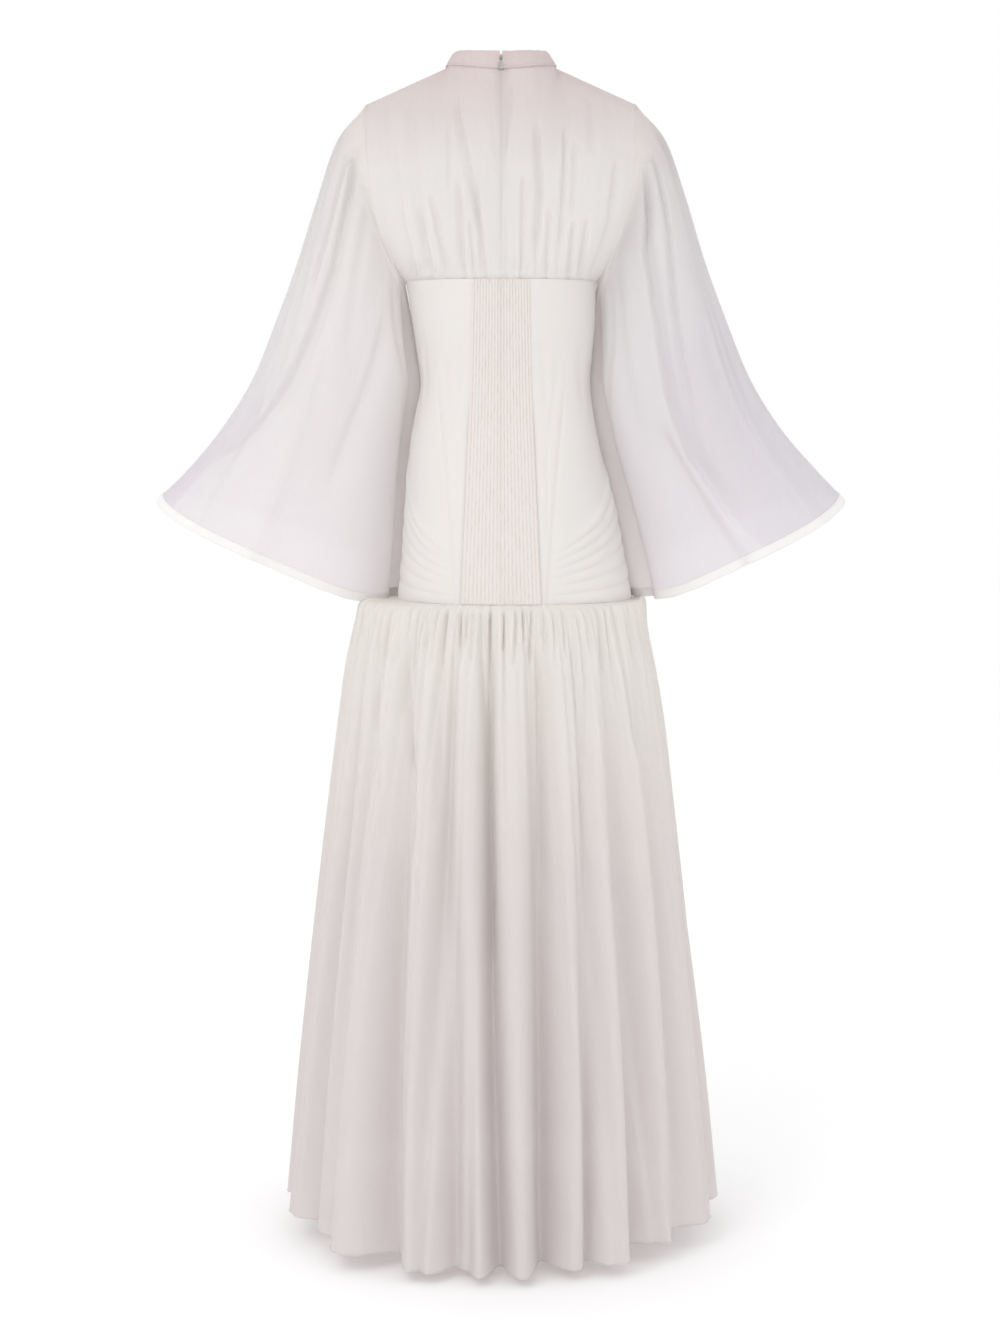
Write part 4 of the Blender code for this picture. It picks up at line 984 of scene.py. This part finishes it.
# %% Sleeves
SLEEVE_FOLDS = (
    (38, 30, 0.0, 1.0, 0.0060, 12),
    (72, 64, 0.0, 1.0, 0.0045, 11),
    (104, 98, 0.0, 1.0, 0.0060, 13),
    (222, 226, 0.0, 1.0, 0.0070, 10),
    (262, 258, 0.0, 1.0, 0.0095, 12),
    (300, 306, 0.0, 1.0, 0.0070, 10),
    (332, 338, 0.0, 1.0, 0.0080, 10),
)
UNDERARM_FOLDS = {1: ((150, 162, 0.06, 1.0, 0.0150, 6),), -1: ((156, 147, 0.06, 1.0, 0.0170, 6),)}
DRAWN_FOLDS = {1: (
    ((0.0, 0.16, 0.33, 0.50, 0.61, 0.72, 0.82), (32, 60, 64, 60, 54, 45, 24), 0.0090, 5.0, 0.55),
    ((0.02, 0.15, 0.28, 0.46), (38, 47, 49, 47), 0.0050, 3.4, -0.4),
    ((0.30, 0.54, 0.66, 0.84), (121, 112, 107, 105), 0.0050, 6.0, 0.3),
    ((0.04, 0.30, 0.55), (84, 88, 92), 0.0035, 6.0, 0.0),
    ((0.50, 0.75, 1.0), (78, 84, 86), 0.0050, 8.0, 0.3),
    ((0.03, 0.35, 0.70), (12, 16, 18), 0.0040, 5.0, 0.2),
    ((0.62, 0.80, 1.0), (32, 40, 46), 0.0060, 6.0, -0.3),
), -1: (
    ((0.02, 0.23, 0.43, 0.60, 0.72, 0.80, 0.91, 0.99), (46, 84, 87, 91, 91, 86, 82, 76),
     0.0110, 5.0, -0.6),
    ((0.04, 0.25, 0.41, 0.60, 0.74), (40, 55, 69, 78, 88), 0.0060, 3.4, 0.4),
    ((0.62, 0.79, 1.0), (106, 98, 90), 0.0070, 6.0, 0.4),
    ((0.10, 0.40, 0.80), (118, 121, 116), 0.0040, 7.0, 0.0),
    ((0.03, 0.35, 0.75), (14, 20, 26), 0.0045, 5.0, 0.2),
    ((0.45, 0.75, 1.0), (48, 52, 50), 0.0060, 7.0, 0.3),
)}
SLEEVE_CREASES = (
    (12, 20, 0.02, 0.60, 0.0030, 4),
    (24, 44, 0.04, 0.85, 0.0026, 4),
    (128, 152, 0.10, 0.90, 0.0022, 4),
    (205, 206, 0.12, 0.90, 0.0030, 5),
    (240, 244, 0.05, 0.85, 0.0034, 5),
    (282, 280, 0.08, 0.95, 0.0036, 4),
    (318, 322, 0.03, 0.75, 0.0036, 5),
    (346, 352, 0.02, 0.60, 0.0038, 4),
)
SLEEVE_ROWS = 84
SLEEVE_COLUMNS = 252
HELD_IN_BINDING = 0.0030
HEM_DROP, HEM_DROP_TURN, HEM_DROP_WIDTH = 0.0105, 128, 30
# Painted shade on the sleeves: a cooler darkening, stronger on the right sleeve and at the outer
# rim, none beside the corset, and a lilac darkening where the cloth lies doubled.
COOL_PAINTED_SHADE = (0.052, 0.048, 0.034)
COOL_SHADE_SHARE = {1: 1.0, -1: 1.5}
LILAC_PAINTED_SHADE = {1: (0.040, 0.052, 0.030), -1: (0.040, 0.046, 0.030)}
LILAC_SHADE_PLACE = {1: (0.52, 50), -1: (0.26, 90)}


def sleeve_points(side):
    turns = np.arange(SLEEVE_COLUMNS) * 360 / SLEEVE_COLUMNS
    shares = np.linspace(0, 1, SLEEVE_ROWS)
    points = sleeve_form(side, turns, shares * LAST_RING)
    normals = outward_of(points, closed=True) * side
    turn, share = np.meshgrid(turns, shares)
    long_folds = creases(SLEEVE_FOLDS, turn, 0.02 + 0.97 * share, turn=360)
    long_folds = long_folds * np.minimum(1.0, share * 1.4)
    fine = creases(SLEEVE_CREASES, turn + 3 * np.sin(share * 6 + side), share, turn=360)
    head = gathers(34, 60 + side, turn, share, 0.0012, 2.2, 0.20, turn=360, span=(-70, 80))
    underarm = creases(UNDERARM_FOLDS[side], turn, share)
    drawn = drawn_folds(DRAWN_FOLDS[side], turn, share, turn=360)
    sunk = long_folds + underarm + fine * ease(share * 9) + head * ease(share * 25)
    sunk = sunk + drawn * ease(share * 7)
    points = points - normals * sunk[..., None]
    points[..., 2] -= HEM_DROP * bell((turn - HEM_DROP_TURN) / HEM_DROP_WIDTH) * share ** 3
    above = points[:1] - unit(points[1:2] - points[:1]) * ALLOWANCE - normals[:1] * ALLOWANCE_DEPTH
    held = points[-1:] + unit(points[-1:] - points[-3:-2]) * HELD_IN_BINDING
    return np.concatenate([above, points, held])


def sleeve_painted_shade(side, rows, columns):
    """The painted shade of a sleeve: none, so it stays warm, where it hangs beside the corset, a
    cooler painted shade over the rest that deepens at its outer rim, and a lilac painted shade
    where the cloth is doubled beyond its longest fold, from a share of the way down the sleeve and
    for so many degrees round it."""
    turn, share = np.meshgrid(np.arange(columns) * 360 / columns, np.linspace(0, 1, rows))
    places, line = DRAWN_FOLDS[side][0][:2]
    beyond = np.interp(share, places, line) - turn
    start, reach = LILAC_SHADE_PLACE[side]
    doubled = ease(beyond / 3 + 0.5) * ease((reach - beyond) / 36) * ease((share - start) / 0.35)
    beside = ease((turn - 136) / 16) * ease((250 - turn) / 30) * ease(share * 8)
    rim = ease((75 - np.abs((turn + 180) % 360 - 180)) / 75) * ease(share * 4)
    cool_shade = (1 - beside) * ease(share * 6) * COOL_SHADE_SHARE[side] + 0.9 * rim
    painted_shade = 1 - cool_shade[..., None] * COOL_PAINTED_SHADE
    return painted_shade * (1 - doubled[..., None] * np.array(LILAC_PAINTED_SHADE[side]))


def sleeve(side, name):
    points = sleeve_points(side)
    tint = sleeve_painted_shade(side, *points.shape[:2])
    if side < 0:
        points, tint = (np.roll(grid[:, ::-1], 1, axis=1) for grid in (points, tint))
    return sheet_mesh(name, points, CHIFFON_THICKNESS, sleeve_chiffon, closed=True,
                      tint=tint), points


sleeve_left, sleeve_left_points = sleeve(1, "sleeve_left_chiffon")
sleeve_right, sleeve_right_points = sleeve(-1, "sleeve_right_chiffon")

# %% [markdown]
# ## The satin binding of the sleeve hems
# A bias strip of satin, 24 mm wide, is folded in half over the sleeve's raw edge and sewn down.
# It is a closed loop with a rounded cross-section that hangs from the sleeve's last row.

# %% Sleeve bindings
BINDING_WIDTH = 0.0118
BINDING_HALF = 0.0011
BINDING_SIDES = 14
BINDING_FLATNESS, BINDING_ROUNDNESS = 0.42, 0.8
SEAM_BELOW_EDGE = 0.0014
STITCH_PITCH = 0.0030
STITCH_SHARE = 0.72
STITCH_RADIUS = 0.00022


def stitches(name, path, out, pitch, closed=False):
    """A row of machine stitches along a line of points, each a short four-sided length of thread
    that lies on the cloth."""
    ends = np.concatenate([path, path[:1]]) if closed else path
    faces_out = np.concatenate([out, out[:1]]) if closed else out
    run = np.concatenate([[0], np.cumsum(np.linalg.norm(np.diff(ends, axis=0), axis=-1))])
    starts = np.arange(int(run[-1] / pitch)) * pitch
    made, faces = [], []
    for start in starts:
        a, b, lift = (np.array([np.interp(place, run, values[:, k]) for k in range(3)])
                      for place, values in ((start, ends), (start + pitch * STITCH_SHARE, ends),
                                            (start, faces_out)))
        side = unit(np.cross(b - a, lift))
        first = len(made)
        for end in (a, b):
            made += [end + side * STITCH_RADIUS, end + lift * STITCH_RADIUS,
                     end - side * STITCH_RADIUS, end - lift * STITCH_RADIUS]
        faces += [[first + k, first + (k + 1) % 4, first + 4 + (k + 1) % 4, first + 4 + k]
                  for k in range(4)]
        faces += [[first + 3, first + 2, first + 1, first], [first + k for k in range(4, 8)]]
    mesh = bpy.data.meshes.new(name)
    mesh.from_pydata([tuple(corner) for corner in made], [], faces)
    mesh.materials.append(thread)
    piece = bpy.data.objects.new(name, mesh)
    bpy.context.scene.collection.objects.link(piece)
    return piece


def binding(points, name):
    points = points[:-1]
    columns = points.shape[1]
    fall = unit(points[-1] - points[-4])
    out = outward_of(points, closed=True)[-1]
    turn = np.linspace(0, 2 * math.pi, BINDING_SIDES, endpoint=False)
    down = np.sign(np.cos(turn)) * np.abs(np.cos(turn)) ** BINDING_FLATNESS
    through = np.sign(np.sin(turn)) * np.abs(np.sin(turn)) ** BINDING_ROUNDNESS
    place = np.arange(columns) * 2 * math.pi / columns
    pucker = 0.00025 * np.sin(place * 61) + 0.0002 * np.sin(place * 97 + 1)
    width = BINDING_WIDTH + 0.0003 * np.sin(place * 23 + 2)
    rows = []
    for d, t in zip(down, through):
        drop = (0.5 - 0.5 * d) * width - 0.0002
        rows.append(points[-1] + fall * drop[:, None]
                    + out * (t * BINDING_HALF + pucker * (drop / BINDING_WIDTH))[:, None])
    piece = weld(sheet_mesh(name, np.array(rows + rows[:1]), 0, satin, closed=True))
    seam = points[-1] + fall * SEAM_BELOW_EDGE + out * (BINDING_HALF + STITCH_RADIUS / 2)
    return piece, stitches(name + "_stitches", seam, out, STITCH_PITCH, closed=True)


binding_left, stitches_left = binding(sleeve_left_points, "sleeve_binding_left_satin")
binding_right, stitches_right = binding(sleeve_right_points, "sleeve_binding_right_satin")

# %% [markdown]
# The collar's doubled cloth is held by two rows of the same stitches, near its upper edge and its
# foot. They sink a little into the cloth, which the collar's form already allows for.

# %% Collar stitches
COLLAR_STITCH_ROWS = SimpleNamespace(top=2, foot=18)


def collar_stitches(name, row):
    """The row of stitches that holds the collar's doubled cloth, near one of its long edges."""
    line = collar_points[row, 2:-2]
    out = unit(line * (1, 1, 0))
    return stitches(name, line + out * STITCH_RADIUS / 2, out, STITCH_PITCH)


collar_rows = [collar_stitches("collar_top_stitches", COLLAR_STITCH_ROWS.top),
               collar_stitches("collar_foot_stitches", COLLAR_STITCH_ROWS.foot)]

# %% [markdown]
# ## The skirt
# Three widths of chiffon, joined at the sides and the centre back, are gathered to the corset's
# hem. They swell out just below the seam, and puff up a little at the sides, under the sleeves.
# Then they hang as deep organ-pipe folds that grow to the hem. The back's main gathers are listed
# in degrees round the skirt. Fine seeded ones lie between them and fade on the way down.

# %% Skirt form
SKIRT_HEM_SIDE = -1.4410
SKIRT_FOLD_GROWTH = 0.6
SIDE_PUFF, PUFF_HEIGHT, PUFF_DEPTH = 0.0140, -0.6700, 0.020
BACK_DIP, FRONT_RISE = 0.0270, 0.0080
SKIRT = table(
    "height left right back front",
    (-0.6563, 0.1330, 0.1680, 0.1210, 0.1130),
    (-0.6610, 0.1620, 0.1800, 0.1290, 0.1200),
    (-0.6690, 0.1780, 0.1870, 0.1355, 0.1270),
    (-0.6900, 0.1895, 0.1930, 0.1440, 0.1355),
    (-0.7240, 0.1990, 0.2000, 0.1540, 0.1450),
    (-0.8000, 0.2110, 0.2125, 0.1720, 0.1600),
    (-0.9200, 0.2275, 0.2285, 0.1960, 0.1800),
    (-1.0800, 0.2475, 0.2485, 0.2230, 0.2050),
    (-1.2400, 0.2660, 0.2665, 0.2470, 0.2260),
    (-1.4410, 0.2860, 0.2860, 0.2720, 0.2500),
)
SKIRT_FOLDS = table(
    "top hem depth width",
    (12, 9, 0.020, 5.0),
    (24, 27, 0.032, 4.5),
    (33, 37, 0.026, 4.0),
    (45, 57, 0.052, 6.0),
    (63, 77, 0.044, 5.5),
    (82, 90, 0.058, 3.6),
    (108, 104, 0.060, 5.5),
    (127, 116, 0.040, 4.0),
    (140, 132, 0.056, 6.0),
    (154, 147, 0.036, 4.5),
    (170, 166, 0.022, 5.0),
    (188, 190, 0.026, 4.5),
    (203, 208, 0.040, 5.5),
    (219, 222, 0.034, 4.5),
    (236, 240, 0.050, 6.0),
    (252, 254, 0.030, 4.0),
    (268, 271, 0.048, 5.5),
    (285, 288, 0.036, 4.5),
    (303, 305, 0.052, 6.0),
    (320, 319, 0.030, 4.5),
    (334, 336, 0.042, 5.5),
    (349, 351, 0.028, 4.5),
)
SKIRT_GATHERS = (
    (20, 24, 0.0, 0.14, 0.0060, 1.8),
    (28, 42, 0.0, 0.34, 0.0075, 2.4),
    (33, 36, 0.0, 0.13, 0.0062, 1.4),
    (38, 41, 0.0, 0.10, 0.0050, 1.1),
    (42, 58, 0.0, 0.40, 0.0080, 2.2),
    (47, 49, 0.0, 0.12, 0.0056, 1.2),
    (52, 54, 0.0, 0.08, 0.0046, 0.9),
    (57, 58, 0.0, 0.11, 0.0052, 1.1),
    (61, 65, 0.0, 0.34, 0.0070, 1.8),
    (68, 71, 0.0, 0.09, 0.0056, 1.0),
    (72, 73, 0.0, 0.07, 0.0040, 0.8),
    (76, 76, 0.0, 0.10, 0.0046, 0.9),
    (79, 82, 0.0, 0.18, 0.0060, 1.1),
    (84, 86, 0.0, 0.18, 0.0055, 1.0),
    (84, 87, 0.10, 0.60, 0.0080, 2.4),
    (92, 91, 0.0, 0.08, 0.0042, 0.9),
    (98, 96, 0.0, 0.10, 0.0058, 1.1),
    (102, 101, 0.0, 0.07, 0.0042, 0.8),
    (107, 104, 0.0, 0.10, 0.0050, 1.0),
    (109, 107, 0.04, 0.46, 0.0085, 1.9),
    (113, 112, 0.0, 0.08, 0.0044, 0.9),
    (117, 115, 0.0, 0.11, 0.0050, 1.1),
    (122, 120, 0.0, 0.08, 0.0046, 1.0),
    (130, 125, 0.03, 0.30, 0.0070, 1.8),
    (134, 133, 0.0, 0.09, 0.0048, 1.0),
    (139, 138, 0.0, 0.12, 0.0054, 1.2),
    (147, 147, 0.0, 0.26, 0.0075, 2.2),
    (153, 154, 0.0, 0.11, 0.0052, 1.3),
    (160, 163, 0.0, 0.14, 0.0060, 1.7),
)


def long_folds(angle_deg, share):
    """The sink of the skirt's deep folds, which lie where the CAD walls have them."""
    sink = np.zeros(angle_deg.shape)
    for top, hem, depth, width in SKIRT_FOLDS.values:
        sink += depth * bell(apart_from(toward(top, hem, share ** 0.75), angle_deg, 360) / width)
    return sink * share ** SKIRT_FOLD_GROWTH


def skirt_points(start_deg, end_deg, columns, rows):
    share, angle = np.meshgrid(np.linspace(0, 1, rows) ** 1.25,
                               np.radians(np.linspace(start_deg, end_deg, columns)), indexing="ij")
    lift = np.sin(angle)
    hem = SKIRT_HEM_SIDE - np.where(lift > 0, BACK_DIP, -FRONT_RISE) * lift**2
    height = toward(CORSET_HEM - SEAM_GAP, hem, share)
    across, out = oval(along(SKIRT, height), angle)
    outward = unit(stack(across, out, 0.0))
    turn = np.degrees(angle)
    hidden = 1 - ease((turn - 12) / 14) * ease((172 - turn) / 14)
    strong = creases(SKIRT_GATHERS, turn, share) + hidden * gathers(
        50, 7, turn, share, 0.0085, 1.30, 0.17, turn=360, span=(0, 360))
    fine = gathers(150, 8, turn, share, 0.0026, 0.55, 0.10, turn=360, span=(0, 360))
    long_fine = gathers(80, 19, turn, share, 0.0036, 1.05, 1.30, turn=360, span=(0, 360))
    swing = gathers(46, 23, turn, 1 - share, 0.0080, 2.0, 0.75, turn=360, span=(0, 360))
    opened = ease(share * 40) * 0.85 + 0.15
    sunk = (strong + fine + long_fine) * opened + swing * ease(share * 3) + long_folds(turn, share)
    sunk = sunk + ALLOWANCE_DEPTH * bell(share / TUCKED_IN)
    points = stack(across, out, height) - outward * sunk[..., None]
    puff = SIDE_PUFF * np.cos(angle) ** 6 * bell((height - PUFF_HEIGHT) / PUFF_DEPTH)
    points[..., 2] += puff * ease(share * 70)
    return np.concatenate([points[:1] + (0, 0, ALLOWANCE), points])


SKIRT_ROWS = 90


def skirt_panel(start_deg, end_deg, columns, name):
    points = skirt_points(start_deg, end_deg, columns, SKIRT_ROWS)
    across = points[:, ::-1]
    return sheet_mesh(name, across, CHIFFON_THICKNESS, skirt_chiffon), across


skirt_back_left, back_left_points = skirt_panel(0, 90, 260, "skirt_back_left_chiffon")
skirt_back_right, back_right_points = skirt_panel(90, 180, 260, "skirt_back_right_chiffon")
skirt_front, front_skirt_points = skirt_panel(180, 360, 440, "skirt_front_chiffon")

# %% [markdown]
# ## The rolled hem
# The skirt's hem is rolled by hand into a cord barely 2 mm thick. A helper sweeps a small ring
# along the last row of each width, a little above its edge.

# %% Rolled hem
HEM_ROLL = 0.0010
HEM_SIDES = 6


def rolled_hem(name, edge):
    """A thin round cord of cloth along a row of points."""
    path = edge + (0, 0, HEM_ROLL / 2)
    tangent = unit(np.gradient(path, axis=0))
    side = unit(np.cross(tangent, (0.0, 0.0, 1.0)))
    up = np.cross(side, tangent)
    rows = [path + HEM_ROLL * (math.cos(a) * side + math.sin(a) * up)
            for a in np.linspace(0, 2 * math.pi, HEM_SIDES + 1)]
    return weld(sheet_mesh(name, np.array(rows), 0, skirt_chiffon))


hem_cords = [
    rolled_hem("skirt_back_left_rolled_hem", back_left_points[-1]),
    rolled_hem("skirt_back_right_rolled_hem", back_right_points[-1]),
    rolled_hem("skirt_front_rolled_hem", front_skirt_points[-1]),
]
print("hem cords:", len(hem_cords))

# %% [markdown]
# ## The zip
# The zip is an invisible one: its tape lies behind the centre-back edges, so that only its slider
# and pull show, at the collar. The CAD solids have their true shapes, and get their finishes here.

# %% Zip
for name, finish in (("zip_slider", nickel), ("zip_pull", nickel), ("zip_tape", tape_weave)):
    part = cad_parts[name]
    part.data.materials.clear()
    part.data.materials.append(finish)
    print(name, "is finished in", finish.name)

# %% [markdown]
# The coil's teeth are turns of nylon filament on the tape's inside. One turn is a small cylinder,
# and an Array modifier repeats it down each straight run between two heights of the centre line.

# %% Zip coil
COIL_PITCH = 0.0014
COIL_RADIUS = 0.00055
COIL_WIDTH = 0.0042
COIL_BEHIND_CLOTH = 0.0050
COIL_HEIGHTS = (0.004, -0.040, -0.100, -0.170, -0.254, -0.300, -0.345, -0.383, -0.420, -0.465,
                -0.520, -0.556)


def coil(name):
    """The zip's nylon coil on the tape's inside: one tooth, repeated down each run of the back."""
    reaches = [float(along(CENTRE_BACK, h).reach if h > CORSET_TOP else along(TORSO, h).back)
               - COIL_BEHIND_CLOTH for h in COIL_HEIGHTS]
    runs = []
    for top, foot, near, far in zip(COIL_HEIGHTS, COIL_HEIGHTS[1:], reaches, reaches[1:]):
        length = math.hypot(foot - top, far - near)
        body = bpy.data.objects.new(name, bpy.data.meshes.new(name))
        bpy.context.scene.collection.objects.link(body)
        bpy.context.view_layer.objects.active = body
        bpy.ops.object.mode_set(mode="EDIT")
        bpy.ops.mesh.primitive_cylinder_add(vertices=6, radius=COIL_RADIUS, depth=COIL_WIDTH,
                                            location=(0, near, top),
                                            rotation=(0, math.pi / 2, 0))
        bpy.ops.object.mode_set(mode="OBJECT")
        repeat = body.modifiers.new("teeth", "ARRAY")
        repeat.use_relative_offset = False
        repeat.use_constant_offset = True
        repeat.constant_offset_displace = (0, (far - near) / length * COIL_PITCH,
                                           (foot - top) / length * COIL_PITCH)
        repeat.count = max(1, int(length / COIL_PITCH))
        apply_modifiers(body)
        runs.append(body)
    bpy.ops.object.select_all(action="DESELECT")
    for body in runs:
        body.select_set(True)
    bpy.context.view_layer.objects.active = runs[0]
    bpy.ops.object.join()
    made = bpy.context.view_layer.objects.active
    made.data.materials.append(nylon)
    print(name, len(made.data.polygons), "faces")
    return made


zip_coil = coil("zip_coil")

# %% [markdown]
# ## Every piece rides on the gown
# Each sheet stands for the CAD node that its own name starts with, which it hides, and moves with
# the gown's body. Its row in the table also gives its size when it is laid flat: the width, the
# length and the area that were printed above.

# %% Sheets, cuts and bodies
SHEETS = (
    (collar, 0.430, 0.026, 0.0095, "stretched", ["yoke_front"], collar_rows),
    (yoke_back_left, 0.220, 0.313, 0.054, "gathered", ["corset_tucks_left"], []),
    (yoke_back_right, 0.220, 0.312, 0.055, "gathered", ["corset_tucks_right"], []),
    (yoke_front, 0.450, 0.319, 0.106, "gathered", ["corset_front"], []),
    (sleeve_left, 0.860, 0.583, 0.300, "hung", ["yoke_back_left"],
     [binding_left, stitches_left]),
    (sleeve_right, 0.815, 0.583, 0.295, "hung", ["yoke_back_right"],
     [binding_right, stitches_right]),
    (corset_tucks_left, 0.056, 0.415, 0.0214, "stretched", ["corset_back_left"], []),
    (corset_tucks_right, 0.055, 0.415, 0.0214, "stretched", ["corset_back_right"], []),
    (corset_back_left, 0.057, 0.415, 0.0147, "stretched", ["corset_side_left"], []),
    (corset_back_right, 0.057, 0.415, 0.0143, "stretched", ["corset_side_right"], []),
    (corset_side_left, 0.181, 0.415, 0.0400, "stretched", ["corset_front"], []),
    (corset_side_right, 0.194, 0.417, 0.0470, "stretched", ["corset_front"], []),
    (corset_front, 0.427, 0.408, 0.152, "stretched", ["corset_side_left"], []),
    (skirt_back_left, 0.590, 0.836, 0.382, "gathered", ["corset_side_left"], [hem_cords[0]]),
    (skirt_back_right, 0.630, 0.836, 0.384, "gathered", ["corset_side_right"], [hem_cords[1]]),
    (skirt_front, 1.130, 0.836, 0.680, "gathered", ["corset_front"], [hem_cords[2]]),
)
for piece, width, length, area, held, rests_on, trims in SHEETS:
    node_name = piece.name.rsplit("_", 1)[0]
    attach(piece, "gown")
    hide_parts(node_name)
    for trim in trims:
        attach(trim, "gown")
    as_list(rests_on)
    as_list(trims)
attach(zip_coil, "gown")
for trim, node_name in ((binding_left, "sleeve_binding_left"),
                        (binding_right, "sleeve_binding_right")):
    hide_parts(node_name)

# %% [markdown]
# ## Light and floor
# The photograph is high-key: white all round, so that every face is lit nearly the same, with a
# wide soft light from the upper left to draw the folds. A white sky gives the first and a large
# area light the second; two weak ones lift the lower right and the front. The floor is matt white
# and lies just below the hem.

# %% Light and floor
FLOOR_BELOW_HEM = 0.012
FLOOR_RADIUS = 14
scene = bpy.context.scene
scene.view_settings.view_transform = "Standard"
world = bpy.data.worlds.new("white studio")
world.use_nodes = True
world.node_tree.nodes["Background"].inputs["Color"].default_value = (1.0, 1.0, 1.0, 1.0)
world.node_tree.nodes["Background"].inputs["Strength"].default_value = 1.0
scene.world = world

LIGHTS = table(
    "watts across out height size",
    (18, 1.4, 2.2, 1.2, 1.6),
    (5, -2.2, 2.4, -0.7, 2.2),
    (3, 0.6, -2.6, 0.8, 2.0),
)
for number, (watts, across, out, height, size) in enumerate(LIGHTS.values):
    lamp = bpy.data.lights.new("softbox " + str(number + 1), "AREA")
    lamp.energy = watts
    lamp.size = size
    holder = bpy.data.objects.new(lamp.name, lamp)
    holder.location = (across, out, height)
    aim = Vector((0, 0, -0.6)) - holder.location
    holder.rotation_euler = aim.to_track_quat("-Z", "Y").to_euler()
    scene.collection.objects.link(holder)

floor_paint = grained("matt white floor paint", "#FFFFFF", roughness=0.9, scale=60.0,
                      strength=0.05, distance=0.001)
bpy.ops.mesh.primitive_circle_add(vertices=96, radius=FLOOR_RADIUS, fill_type="NGON",
                                  location=(0, 0, cad_box[0][2] - FLOOR_BELOW_HEM))
floor = bpy.context.active_object
floor.name = "floor"
bpy.ops.object.transform_apply(location=True, rotation=False, scale=False)
floor.data.materials.append(floor_paint)
print("lights:", len(LIGHTS.values), "floor at", round(cad_box[0][2] - FLOOR_BELOW_HEM, 3))
